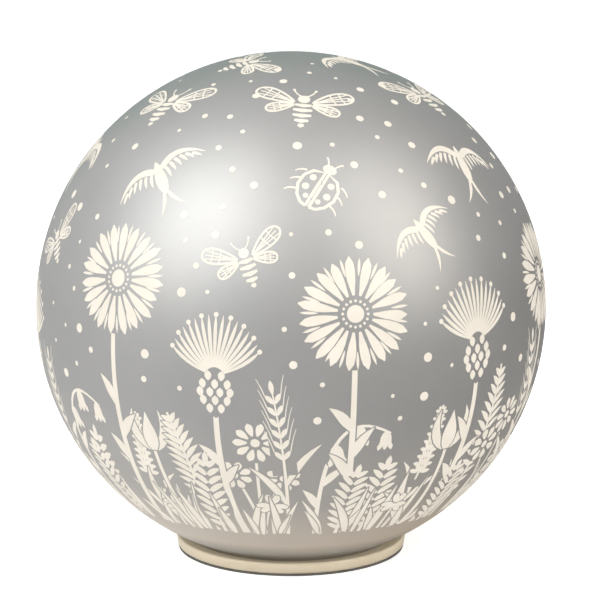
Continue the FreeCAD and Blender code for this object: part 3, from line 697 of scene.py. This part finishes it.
def daisyCluster(page, lon):
    # a few small flowers on one branching stem
    place = startPlant(page, lon)
    for side, height in smallDaisies["stems"]:
        page["kind"] = "leaves"
        top = (side * within(smallDaisies["reach"]), height + within(smallDaisies["higher"]))
        path = drawStem(place, top, smallDaisies["stem"], side * smallDaisies["bow"])
        smallDaisy(tipOf(place, path), within(smallDaisies["radius"]), smallDaisies["petals"][side])


thistle = dict(
    height=(58, 70), lean=6, bow=8, stem=1.25,
    leaves=(0.34, 0.46, 0.6), leafLength=13, leafHalf=1.7,
    size=(34, 38),
    bulb=((0, -0.03), (0.15, 0.06), (0.2, 0.22), (0.17, 0.4), (0.1, 0.5)),    # its right side, from below
    scaleRows=((2, 0.055), (3, 0.115), (4, 0.145), (3, 0.12), (2, 0.065)),    # scales, and half their spread
    firstRow=0.06, rowStep=0.085, scaleHalf=0.036,
    bristles=17, bristleHalf=0.019, fan=58, knob=0.026,
)


def thistleHead(place, size):
    # scaly bulb with a fan of bristles, drawn upwards from the stem's end
    nextRow(place)
    bulb = thistle["bulb"] + tuple((-x, y) for x, y in thistle["bulb"][:0:-1])
    keepClear(place, [(size * x, size * y) for x, y in bulb])
    place["page"]["heads"].append((onBall(place, 0, size * 0.7), size * 0.45))
    for row, (across, spread) in enumerate(thistle["scaleRows"]):
        y = size * (thistle["firstRow"] + thistle["rowStep"] * row)
        for i in range(across):
            side = 2 * i / (across - 1) - 1
            x = side * (size * spread)
            addBlade(place, (x, y - size * 0.035), (x * 1.12, y + size * 0.065),
                     size * thistle["scaleHalf"], shares=grainShares, steps=4)
    bristles = thistle["bristles"]
    for i in range(bristles):
        side = 2 * i / (bristles - 1) - 1
        start = (side * size * 0.095, size * (0.5 - 0.05 * side * side))
        end = shifted(start, size * (0.52 - 0.1 * side * side), 90 - side * thistle["fan"])
        addBlade(place, start, end, size * thistle["bristleHalf"], -0.12 * side,
                 (0.6, 0.7, 0.85, 1.0, 0.9, 0.1), rim=True)
        if i % 2 == 0:
            addRound(place, end[0], end[1], size * thistle["knob"], 8, rim=True)


def tallThistle(page, lon):
    place, path = swayingPlant(page, lon, thistle)
    thistleHead(tipOf(place, path), within(thistle["size"]))


tulip = dict(
    height=(40, 54), lean=4, bow=4, stem=0.85,
    leafReach=(8, 11), leafHeight=(30, 40), leafHalf=2.1,
    size=(14, 17), sideHalf=0.115, middleHalf=0.2,
)


def tulipPlant(page, lon):
    place, path = swayingPlant(page, lon, tulip)
    for side in (-1, 1):
        end = (side * within(tulip["leafReach"]), within(tulip["leafHeight"]))
        addBlade(place, (side * 0.4, 0), end, tulip["leafHalf"], -0.2 * side, steps=8, rim=True)
    head, size = tipOf(place, path), within(tulip["size"])
    nextRow(place)
    for side in (-1, 1):
        addBlade(head, (side * size * 0.1, size * 0.02), (side * size * 0.36, size * 1.04),
                 size * tulip["sideHalf"], -0.34 * side, (0.35, 0.9, 1.0, 0.85, 0.5, 0.04), 7, rim=True)
    nextRow(place)
    addBlade(head, (0, 0), (0, size * 0.98), size * tulip["middleHalf"], 0,
             (0.4, 0.85, 1.0, 0.9, 0.62, 0.3, 0.03), 7, rim=True)


bells = dict(
    height=(56, 66), reach=25, stem=0.75,
    leaves=(0.13, 0.24), leafLength=13, leafHalf=1.6,
    places=(0.5, 0.76, 0.97), size=8.6, sizeStep=0.6, turn=9, turnStep=4,
    clear=0.56,
    body=((0, 0.08), (0.12, 0.2), (0.3, 0.28), (0.5, 0.3), (0.7, 0.33), (0.86, 0.43)),  # depth, half width
    toothHalf=0.13,
)


def bellFlower(place, size):
    # bell that hangs down from the origin, with a toothed hem
    keepClear(place, roundOutline(0, -size * 0.64, size * bells["clear"], 16))
    path = [(0, -size * depth) for depth, half in bells["body"]]
    addBand(place, path, [size * half for depth, half in bells["body"]])
    for side in (-1, 0, 1):
        x = side * size * 0.28
        addBlade(place, (x, -size * 0.84), (x * 1.25, -size * 1.08), size * bells["toothHalf"],
                 shares=(1.0, 0.8, 0.1), steps=3)


def bellSpray(page, lon):
    place = startPlant(page, lon)
    side = luck.choice((-1, 1))
    height = within(bells["height"])
    path = curve((0, 0), (-side * 4, height * 1.2), (side * bells["reach"], height * 0.88), 18)
    addBand(place, path, widthsAlong(path, (1.1, 1.0, 0.8, 0.6), bells["stem"]), rim=True)
    stemLeaves(place, path, bells)
    nextRow(place)
    for i, share in enumerate(bells["places"]):
        hook = spotUp(place, alongPath(path, share)[0], side * (bells["turn"] - bells["turnStep"] * i))
        bellFlower(hook, bells["size"] - bells["sizeStep"] * i)


fern = dict(
    height=(58, 74), lean=13, bow=-0.3, stem=0.6,
    pairs=15, leaflet=11.5, leafletHalf=1.1,
)


def fernFrond(page, lon):
    place, path = leaningPlant(page, lon, fern)
    pairs = fern["pairs"]
    for i in range(pairs):
        point, heading = alongPath(path, 0.16 + 0.82 * i / pairs)
        full = math.sin(math.pi * (0.16 + 0.8 * (1 - i / pairs)))
        length = fern["leaflet"] * full * (1 - 0.35 * i / pairs)
        for side in (-1, 1):
            addRay(place, point, heading - side * (60 - 20 * i / pairs), 0, length, fern["leafletHalf"],
                   bow=0.14 * side, steps=5, rim=True)


wheat = dict(
    height=(62, 78), lean=12, bow=-0.2, stem=0.6,
    leaves=(0.25, 0.4), leafLength=23, leafHalf=1.4, clear=4.6,
    pairs=6, grainFrom=0.9, grainTo=5.4, grainHalf=0.95, grainTurn=34,
    awn=9.5, awnStep=0.5, awnHalf=0.2, awnTurn=17,
)


def wheatEar(page, lon):
    place, path = leaningPlant(page, lon, wheat)
    nextRow(place)
    keepBandClear(place, path[10:], 5, (1.0, 1.0, 0.7), wheat["clear"])
    addBand(place, path[8:], widthsAlong(path[8:], (1.0, 0.6, 0.5), 0.56))
    pairs = wheat["pairs"]
    for i in range(pairs):
        point, heading = alongPath(path, 0.58 + 0.42 * i / pairs)
        for side in (-1, 1):
            aside = heading - side * wheat["grainTurn"]
            addRay(place, point, aside, wheat["grainFrom"], wheat["grainTo"], wheat["grainHalf"],
                   bow=0.12 * side, shares=grainShares)
            addRay(place, shifted(point, wheat["grainTo"], aside), heading - side * wheat["awnTurn"], 0,
                   wheat["awn"] - wheat["awnStep"] * i, wheat["awnHalf"], bow=0.05 * side,
                   shares=(1.0, 0.8, 0.5), steps=4)
    point, heading = alongPath(path, 0.99)
    addRay(place, point, heading, 0.6, 6, wheat["grainHalf"], shares=grainShares)


lavender = dict(
    height=(56, 72), lean=9, bow=0.4, stem=0.6,
    leaves=(0.14, 0.24, 0.34), leafLength=20, leafHalf=1.2, clear=5.2,
    rows=9, turns=(-74, -30, 30, 74), budFrom=0.7, budLength=4.3, budHalf=0.8,
)


def lavenderSpike(page, lon):
    place, path = leaningPlant(page, lon, lavender)
    nextRow(place)
    spike = path[8:]
    keepBandClear(place, spike, 4, (1.0, 1.0, 0.6), lavender["clear"])
    rows = lavender["rows"]
    for i in range(rows):
        point, heading = alongPath(path, 0.5 + 0.5 * i / rows)
        spread = 1 - 0.5 * i / rows
        for turn in lavender["turns"]:
            addRay(place, point, heading + turn, lavender["budFrom"], lavender["budLength"] * spread + 0.6,
                   lavender["budHalf"] * spread + 0.2, shares=grainShares, steps=4)
        if i == 0:
            # the stem inside the spike
            addBand(place, spike, [0.45] * len(spike))


veined = dict(
    height=(32, 48), lean=12, clear=7.2,
    cuts=9, cutLength=7.6, cutHalf=0.027, cutTurn=48,
)


def veinedLeaf(page, lon):
    # broad leaf cut by slanted veins on both sides of its rib
    place = startPlant(page, lon)
    height, lean = within(veined["height"]), sway(veined["lean"])
    path = curve((0, 0), (-lean * 0.2, height * 0.5), (lean, height), 14)
    widths = widthsAlong(path, (0.15, 0.8, 1.0, 0.95, 0.75, 0.4, 0.08), veined["clear"])
    keepClear(place, bandOutline(path, widths))
    for i in range(veined["cuts"]):
        share = 0.1 + 0.84 * i / veined["cuts"]
        point, heading = alongPath(path, share)
        reach = veined["cutLength"] * math.sin(math.pi * (0.12 + 0.82 * share)) ** 0.8
        for side in (-1, 1):
            start = shifted(point, 0.45, heading - side * 90)
            addRay(place, start, heading - side * veined["cutTurn"], 0, reach, height * veined["cutHalf"],
                   bow=0.1 * side, shares=(0.6, 0.95, 1.0, 0.8, 0.2), steps=4)
    addBlade(place, path[-3], path[-1], 1.2, shares=grainShares, steps=4)
    addBlade(place, (0, -0.5), path[3], 0.7, shares=(1.0, 0.9, 0.6), steps=3, rim=True)


grass = dict(blades=(2, 4), lean=9, height=(13, 30), half=(0.9, 1.6))


def grassTuft(page, lon):
    for i in range(luck.randint(*grass["blades"])):
        place = startPlant(page, lon)
        lean, height = sway(grass["lean"]), within(grass["height"])
        start = (sway(2.5), luck.uniform(-1.0, 0.6))
        addBlade(place, start, (start[0] + lean, height), within(grass["half"]), lean * 0.012,
                 (0.55, 0.9, 1.0, 0.8, 0.5, 0.05), 8, rim=True)


clover = dict(height=(13, 22), lean=5, stem=0.5, leafFrom=0.7, leafTo=5.8, leafHalf=1.35)


def cloverSprig(page, lon):
    place = startPlant(page, lon)
    path = drawStem(place, (sway(clover["lean"]), within(clover["height"])), clover["stem"])
    head = tipOf(place, path)
    for angle in (90, 210, 330):
        for side in (-1, 1):
            start = polar(clover["leafFrom"], angle + side * 20)
            end = polar(clover["leafTo"], angle + side * 18)
            addBlade(head, start, end, clover["leafHalf"], 0.1 * side, cloverShares, 5, rim=True)


meadowPlan = {
    "tallPlants": 12, "firstTall": -166, "tallSway": 3,      # degrees round the ball
    "between": 3, "betweenSway": 1.2,                        # plants between two tall ones
    "lowPlaces": 44, "lowSway": 2, "grassAside": 3.5,
}


def growMeadow(page):
    kinds = (fernFrond, daisyCluster, wheatEar, bellSpray, veinedLeaf, lavenderSpike, tulipPlant)
    count, between = meadowPlan["tallPlants"], meadowPlan["between"]
    for i in range(count):
        lon = meadowPlan["firstTall"] + 360 * i / count
        for j in range(between):
            middle = lon + 360 / count * (j + 1) / (between + 1) + sway(meadowPlan["betweenSway"])
            kinds[(i * between + j) % len(kinds)](page, middle)
        tall = tallThistle if i % 2 else tallDaisy
        tall(page, lon + sway(meadowPlan["tallSway"]))
    places = meadowPlan["lowPlaces"]
    for i in range(places):
        lon = -180 + 360 * (i + 0.5) / places + sway(meadowPlan["lowSway"])
        if i % 4 == 1:
            cloverSprig(page, lon)
        elif i % 4 == 3:
            veinedLeaf(page, lon)
        grassTuft(page, lon + meadowPlan["grassAside"])


# The creatures, in mm round their own middle, heading up the page

bee = dict(
    grow=1.12, reach=13,
    stripes=((-7.2, 0.9), (-5.2, 2.1), (-2.9, 2.8), (-0.5, 2.9), (1.8, 2.5)),   # height and half length
    wings=((14.5, 7.5, 3.7), (11.0, -2.5, 2.7)),    # reach, lift and half width
    netLine=0.38,
)


def drawBee(place):
    # striped body between two pairs of netted wings
    for y, half in bee["stripes"]:
        addBand(place, [(-half, y), (0, y - 0.35), (half, y)], [0.45, 0.85, 0.45])
    addRound(place, 0, 4.6, 1.9, 12)
    for side in (-1, 1):
        addBlade(place, (side * 0.8, 6.0), (side * 3.2, 9.2), 0.28, -0.2 * side, (1, 0.8, 0.9), 4)
        addRound(place, side * 3.3, 9.4, 0.5, 7)
        for reach, lift, half in bee["wings"]:
            nettedWing(place, (side * 2.9, 2.0 + lift * 0.12), (side * reach, 2.0 + lift), half)


def nettedWing(place, start, end, half):
    # rounded wing as an outline with veins inside
    dx, dy = end[0] - start[0], end[1] - start[1]
    length = math.hypot(dx, dy)
    ux, uy = dx / length, dy / length

    def inWing(along, across):
        return start[0] + ux * length * along - uy * across, start[1] + uy * length * along + ux * across

    rim = []
    corners = 22
    for i in range(corners):
        angle = 2 * math.pi * i / corners
        along = 0.5 - 0.5 * math.cos(angle)
        rim.append(inWing(along, half * (0.35 + 0.65 * along) * math.sin(angle)))
    addHoop(place, rim, bee["netLine"])
    for tilt in (-0.42, 0, 0.42):
        addBlade(place, start, inWing(0.9, half * tilt), 0.25, 0, (1, 1, 0.8), 5)
    for share in (0.5, 0.72):
        addBlade(place, inWing(share, -half * 0.7), inWing(share, half * 0.7), 0.22, 0.12, (1, 1, 1), 4)


swallow = dict(grow=0.95, reach=17, span=18.5, wingHalf=1.45, feathers=6, forkLow=-16.5)


def drawSwallow(place):
    # gliding bird with sickle wings and a forked tail
    addBlade(place, (0, -8.5), (0, 7.5), 2.3, 0, (0.25, 0.8, 1.0, 0.95, 0.8, 0.62, 0.1), 8)
    for side in (-1, 1):
        path = curve((side * 1.6, 3.2), (side * 9, 10.5), (side * swallow["span"], 0.5), 10)
        addBand(place, path, widthsAlong(path, (0.95, 1.0, 0.8, 0.5, 0.08), swallow["wingHalf"]))
        for i in range(swallow["feathers"]):
            x, y = alongPath(path, 0.1 + 0.13 * i)[0]
            addBlade(place, (x, y - 1.9), (x + side * (0.8 + 0.45 * i), y - 7.4 + 0.45 * i), 0.66,
                     0.1 * side, (0.9, 1.0, 0.85, 0.1), 4)
        addBlade(place, (side * 0.7, -7.6), (side * 5.6, swallow["forkLow"]), 0.75, -0.14 * side,
                 (0.8, 1.0, 0.6, 0.05))


ladybird = dict(
    grow=1.3, reach=9,
    # right wing case, and its dots with their radius
    shell=((0.5, -6.5), (2.2, -6.2), (4.0, -4.6), (5.2, -1.8), (5.0, 1.2), (3.4, 3.5), (0.5, 4.4),
           (0.5, -1.0)),
    dots=((2.6, 1.6, 0.95), (3.1, -1.6, 1.0), (1.8, -4.0, 0.75)),
    legs=(-3.4, 0, 2.8),
)


def drawLadybird(place):
    for side in (-1, 1):
        addHoop(place, [(side * x, y) for x, y in ladybird["shell"]], 0.42)
        for x, y, radius in ladybird["dots"]:
            addRound(place, side * x, y, radius, 9)
        for y in ladybird["legs"]:
            addBlade(place, (side * 5.0, y), (side * 7.6, y - 1.6), 0.3, 0.2 * side, (1, 0.8, 0.5), 3)
        addBlade(place, (side * 0.9, 6.6), (side * 2.4, 9.0), 0.24, 0.2 * side, (1, 1, 1), 3)
    addRound(place, 0, 5.8, 1.9, 12, 0.75)


# From the drawing to thin windows on the ball

def turningLeft(outline):
    # the cut takes a shape's inside to be on the left of its outline
    area = sum(a.x * b.y - b.x * a.y for a, b in zip(outline, outline[1:] + outline[:1]))
    return outline if area > 0 else outline[::-1]


def cutShapes(shapes, frameOutline):
    # one flat layer of triangles: the front shape of each spot decides what is left free there
    points, outlines = [], []
    for outline in [frameOutline] + [shape["outline"] for shape in shapes]:
        first = len(points)
        points += turningLeft(outline)
        outlines.append(list(range(first, len(points))))
    for shape in shapes:
        points += shape["inner"]
    cut = delaunay_2d_cdt(points, [], outlines, 1, 1e-5, True)
    free = {"leaves": [], "flowers": []}
    for corners, owners in zip(cut[2], cut[5]):
        if 0 not in owners or len(owners) < 2:
            continue
        front = max((shapes[owner - 1] for owner in owners if owner), key=lambda shape: shape["order"])
        if front["kind"]:
            free[front["kind"]].append(corners)
    return cut[0], free


def frameOf(low, high):
    # points all the way up both sides, so that no long edge there dips into the ball
    count = picture["sidePoints"]
    heights = [pictureRadius * (4 * i / count - 2) for i in range(count + 1)]
    return [Vector((high, y)) for y in heights] + [Vector((low, y)) for y in reversed(heights)]


def movedShape(shape, shift):
    move = Vector((shift, 0))
    return {**shape, "outline": [point + move for point in shape["outline"]],
            "inner": [point + move for point in shape["inner"]]}


def cutRound(page, sheets):
    # the page is cut in narrow upright strips, and what runs over its end comes back at its start
    turn = 2 * math.pi * pictureRadius
    shapes = []
    for shape in page["shapes"]:
        left, right = min(p.x for p in shape["outline"]), max(p.x for p in shape["outline"])
        shapes.append((left, right, shape))
        if left < -turn / 2:
            shapes.append((left + turn, right + turn, movedShape(shape, turn)))
        if right > turn / 2:
            shapes.append((left - turn, right - turn, movedShape(shape, -turn)))
    count = picture["strips"]
    for i in range(count):
        low, high = turn * (i / count - 0.5), turn * ((i + 1) / count - 0.5)
        near = [shape for left, right, shape in shapes if left < high and right > low]
        points, free = cutShapes(near, frameOf(low, high))
        directions = [outward(point.x / pictureRadius, point.y / pictureRadius) for point in points]
        for kind, faces in free.items():
            addFaces(sheets[kind], directions, faces)


def addFaces(sheet, directions, faces):
    # flat triangles go on the ball, all facing out
    radius = (pictureRadius + picture["lift"]) * mm
    places = {}
    for corners in faces:
        for corner in corners:
            if corner not in places:
                places[corner] = len(sheet["points"])
                sheet["points"].append(ballMiddle + directions[corner] * radius)
        face = [places[corner] for corner in corners]
        a, b, c = (sheet["points"][i] for i in face)
        if (b - a).cross(c - a).dot(a - ballMiddle) < 0:
            face.reverse()
        sheet["faces"].append(face)


def addCreature(sheet, draw, place):
    # a creature is cut on its own flat page, then laid round its own spot
    page = newPage("flowers")
    draw({"page": page, "lies": "flat"})
    points, free = cutShapes(page["shapes"], frameOf(-pictureRadius, pictureRadius))
    addFaces(sheet, [onBall(place, point.x, point.y) for point in points], free["flowers"])


sky = {
    # latitude, number, first longitude and size of each row of creatures
    "rows": ((20, 6, -16, 0.9), (37, 8, -34, 1.08), (56, 6, 8, 1.1), (76, 3, -50, 1.0)),
    "lonSway": 5,
    "latSway": 2.5,
    "turnSway": 55,
    # degrees that a creature may move where something is in its way
    "up": (0, 3, 6, -3),
    "aside": (0, 4, -4, 8, -8, 12, -12, 16, -16),
    "clearance": 1.5,
}


def isClear(lon, lat, reach, taken):
    here = outward(math.radians(lon), math.radians(lat))
    return all(here.angle(other) * pictureRadius > reach + far + sky["clearance"] for other, far in taken)


def fillSky(sheet, taken):
    # a creature that finds no free spot is left out
    bird, insect = (drawSwallow, swallow), (drawBee, bee)
    kinds = (insect, bird, (drawLadybird, ladybird), bird, insect)
    turn = 0
    for rowLat, count, first, rowSize in sky["rows"]:
        for i in range(count):
            lon = first + 360 * i / count + sway(sky["lonSway"])
            lat = rowLat + sway(sky["latSway"])
            draw, kind = kinds[turn % len(kinds)]
            turn += 1
            size = rowSize * kind["grow"]
            reach = kind["reach"] * size
            spots = [(lon + aside, lat + up) for up in sky["up"] for aside in sky["aside"]]
            free = [place for place in spots if isClear(*place, reach, taken)]
            if not free:
                continue
            lon, lat = free[0]
            addCreature(sheet, draw, spot(None, lon, lat, sway(sky["turnSway"]), size))
            taken.append((outward(math.radians(lon), math.radians(lat)), reach))


dots = {
    "count": 215,
    "tries": 9000,
    "low": -0.42,            # sines of the latitudes between which they fall
    "high": 0.995,
    "radii": (0.75, 0.95, 1.2, 1.5, 1.75),
    "apart": 9.5,
    "fromHeads": 3,
    "cell": 3,
}


def cellOf(point):
    return round(point.x / dots["cell"]), round(point.y / dots["cell"])


def plantCells(page):
    # small squares of the page that a plant touches
    cells = set()
    for shape in page["shapes"]:
        for point in shape["outline"]:
            across, along = cellOf(point)
            cells.update((across + i, along + j) for i in (-1, 0, 1) for j in (-1, 0, 1))
    return cells


def scatterDots(sheet, taken, cells):
    # dots fall evenly over the ball, clear of the plants, of the creatures and of each other
    placed = []
    for attempt in range(dots["tries"]):
        if len(placed) == dots["count"]:
            break
        lon, lat = sway(math.pi), math.asin(luck.uniform(dots["low"], dots["high"]))
        here = outward(lon, lat)
        if cellOf(Vector((lon * pictureRadius, lat * pictureRadius))) in cells:
            continue
        if any(here.angle(other) * pictureRadius < reach + dots["fromHeads"] for other, reach in taken):
            continue
        if any(here.angle(other) * pictureRadius < dots["apart"] for other in placed):
            continue
        placed.append(here)
        place = spot(None, math.degrees(lon), math.degrees(lat))
        radius = luck.choice(dots["radii"])
        ring = [onBall(place, x, y) for x, y in roundOutline(0, 0, radius)]
        addFaces(sheet, [here, *ring], [[0, 1 + i, 1 + (i + 1) % len(ring)] for i in range(len(ring))])


def newObject(name, data):
    holder = bpy.data.objects.new(name, data)
    bpy.context.scene.collection.objects.link(holder)
    return holder


def hangSheet(sheet, name):
    mesh = bpy.data.meshes.new(name)
    mesh.from_pydata(sheet["points"], [], sheet["faces"])
    mesh.update()
    piece = newObject(name, mesh)
    bpy.context.view_layer.objects.active = piece
    piece.select_set(True)
    bpy.ops.object.mode_set(mode='EDIT')
    bpy.ops.mesh.select_all(action='SELECT')
    bpy.ops.mesh.remove_doubles(threshold=picture["weld"] * mm)
    bpy.ops.object.mode_set(mode='OBJECT')
    giveWall(piece, picture["thickness"] * mm, picture["smoothAngle"])
    mesh.materials.append(finishes["litWindow"])
    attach(piece, "root")
    piece.select_set(False)
    print(name, len(piece.data.polygons), "faces")


meadow = newPage()
growMeadow(meadow)
print("meadow drawn,", len(meadow["shapes"]), "shapes")
sheets = {kind: {"points": [], "faces": []} for kind in ("leaves", "flowers", "creatures", "dots")}
cutRound(meadow, sheets)
fillSky(sheets["creatures"], meadow["heads"])
scatterDots(sheets["dots"], meadow["heads"], plantCells(meadow))
for kind, sheet in sheets.items():
    hangSheet(sheet, "picture" + kind.capitalize())

# Floor, light and camera

room = {
    "level": 0.5,
    "backColor": (1.0, 1.0, 1.0),
    "mirrorLevel": 0.62,     # how bright the room is in the ball's gloss, straight ahead
    "mirrorSlope": -0.3,     # and how much it changes from there to its right end
}


def seenThrough(tree):
    # 1 for rays that show the white back itself: straight to the camera or through glass
    path = addNode(tree, "LightPath")
    either = compute(tree, 'MAXIMUM', path["Is Camera Ray"], path["Is Transmission Ray"])
    return either, path["Is Glossy Ray"]


def mirrorLevel(tree, direction):
    # the room as gloss shows it, brighter towards the window side on the left
    even = addNode(tree, "VectorMath", {0: direction}, operation='NORMALIZE')
    split = addNode(tree, "SeparateXYZ", {"Vector": even["Vector"]})
    return compute(tree, 'MULTIPLY_ADD', split["X"], room["mirrorSlope"], room["mirrorLevel"])


def mixNumbers(tree, share, low, high):
    return addNode(tree, "Mix", {"Factor": share, "A": low, "B": high})["Result"]


def lightRoom():
    world = bpy.data.worlds.new("studioRoom")
    world.use_nodes = True
    bpy.context.scene.world = world
    tree = world.node_tree
    seen, mirrored = seenThrough(tree)
    direction = addNode(tree, "TexCoord")["Generated"]
    level = mixNumbers(tree, mirrored, room["level"], mirrorLevel(tree, direction))
    feed(tree, tree.nodes["Background"], {
        "Color": room["backColor"], "Strength": mixNumbers(tree, seen, level, 1.0)})


paper = {
    "size": 12,
    "hole": 44.8 * mm,
    "holeCorners": 96,
    "gap": 0.04 * mm,        # keeps the floor and the foot from lying in one plane
    "roughness": 0.9,
    "color": (0.8, 0.8, 0.8),
    "mirrorColor": (0.35, 0.35, 0.35),
    "near": (0.15, 0.33),    # metres from the middle, and how much darker gloss shows the floor there
    "far": (0.42, 0.56),
    "glow": 0.6,
}


def paintFloor():
    material, tree, shader = newMaterial("paperFloor")
    place = addNode(tree, "NewGeometry")
    seen, mirrored = seenThrough(tree)
    color = addNode(tree, "Mix", {
        "Factor": mirrored, "A": paper["color"], "B": paper["mirrorColor"]}, data_type='RGBA')
    feed(tree, shader, {
        "Base Color": color["Result"], "Roughness": paper["roughness"], "Specular IOR Level": 0})
    reach = addNode(tree, "VectorMath", {0: place["Position"]}, operation='LENGTH')["Value"]
    (near, nearShade), (far, farShade) = paper["near"], paper["far"]
    fade = addNode(tree, "MapRange", {
        "Value": reach, "From Min": near, "From Max": far, "To Min": nearShade, "To Max": farShade})["Result"]
    darker = compute(tree, 'SUBTRACT', mirrorLevel(tree, place["Position"]), fade)
    glow = mixNumbers(tree, seen, mixNumbers(tree, mirrored, 0.0, darker), paper["glow"])
    emission = addNode(tree, "Emission", {"Strength": glow})["Emission"]
    both = addNode(tree, "AddShader", {0: shader.outputs[0], 1: emission})["Shader"]
    # one-sided paper: the base can be looked at from below
    clear = addNode(tree, "BsdfTransparent")["BSDF"]
    oneSided = addNode(tree, "MixShader", {0: place["Backfacing"], 1: both, 2: clear})["Shader"]
    feed(tree, tree.nodes["Material Output"], {"Surface": oneSided})
    return material


def layFloor():
    # paper with a hole inside the foot ring, so that the underside gets light
    bpy.ops.mesh.primitive_circle_add(
        vertices=paper["holeCorners"], radius=paper["hole"], location=(0, 0, -paper["gap"]))
    floor = bpy.context.object
    floor.name = "studioFloor"
    bpy.ops.object.mode_set(mode='EDIT')
    bpy.ops.mesh.select_all(action='SELECT')
    bpy.ops.mesh.extrude_region()
    grow = paper["size"] / 2 / paper["hole"]
    bpy.ops.transform.resize(value=(grow, grow, 1))
    bpy.ops.object.mode_set(mode='OBJECT')
    if floor.data.polygons[0].normal.z < 0:
        floor.data.flip_normals()
    floor.data.materials.append(paintFloor())
    bpy.ops.object.transform_apply(location=True, rotation=True, scale=True)
    floor.select_set(False)


card = {
    "place": (-0.08, 1.2, 0.42),
    "size": 1.3,
    "color": (0.0, 0.17, 0.13),
}


def standFlag():
    # dark card behind the ball, out of the camera's sight, that darkens the ball's far edge
    bpy.ops.mesh.primitive_plane_add(size=card["size"], location=Vector(card["place"]) + ballMiddle)
    flag = bpy.context.object
    flag.name = "darkFlag"
    flag.rotation_euler = Vector(card["place"]).to_track_quat('Z', 'Y').to_euler()
    bpy.ops.object.transform_apply(location=True, rotation=True, scale=True)
    material, tree, shader = newMaterial("flagCloth")
    feed(tree, shader, {"Base Color": card["color"]})
    flag.data.materials.append(material)
    flag.visible_camera = False
    flag.visible_diffuse = False
    flag.visible_shadow = False
    flag.select_set(False)


# places are from the ball's middle
lamps = {
    "keyLamp": {
        "place": (-0.874, -0.707, 1.066), "size": (1.4, 1.5), "power": 27.5, "color": (1.0, 0.98, 0.95)},
    "fillLamp": {
        "place": (0.91, -0.63, 0.857), "size": (0.95, 1.7), "power": 16.5, "color": (1.0, 0.94, 0.87)},
}


def hangLamp(name, place, size, power, color):
    lamp = bpy.data.lights.new(name, 'AREA')
    lamp.shape = 'ELLIPSE'
    lamp.size, lamp.size_y = size
    lamp.energy = power
    lamp.color = color
    holder = newObject(name, lamp)
    holder.location = Vector(place) + ballMiddle
    holder.rotation_euler = Vector(place).to_track_quat('Z', 'Y').to_euler()


cameraSet = {
    "distance": 1.0,
    "elevation": 11.3,
    "lens": 152.5,
    "sensor": 36,
    "frameWidth": 600,
    "leftOfMiddle": 9,       # pixels that the ball's middle lies left of the frame's
    "underMiddle": 6,
}


def placeCamera():
    lens = bpy.data.cameras.new("photoCamera")
    lens.lens = cameraSet["lens"]
    lens.sensor_width = cameraSet["sensor"]
    lens.shift_x = cameraSet["leftOfMiddle"] / cameraSet["frameWidth"]
    lens.shift_y = cameraSet["underMiddle"] / cameraSet["frameWidth"]
    holder = newObject("photoCamera", lens)
    tilt = math.radians(cameraSet["elevation"])
    away = Vector((0, -math.cos(tilt), math.sin(tilt)))
    holder.location = ballMiddle + away * cameraSet["distance"]
    holder.rotation_euler = away.to_track_quat('Z', 'Y').to_euler()
    bpy.context.scene.camera = holder


lightRoom()
layFloor()
standFlag()
for name, lamp in lamps.items():
    hangLamp(name, **lamp)
placeCamera()
bpy.context.scene.view_settings.view_transform = 'Standard'
print("studio lit")
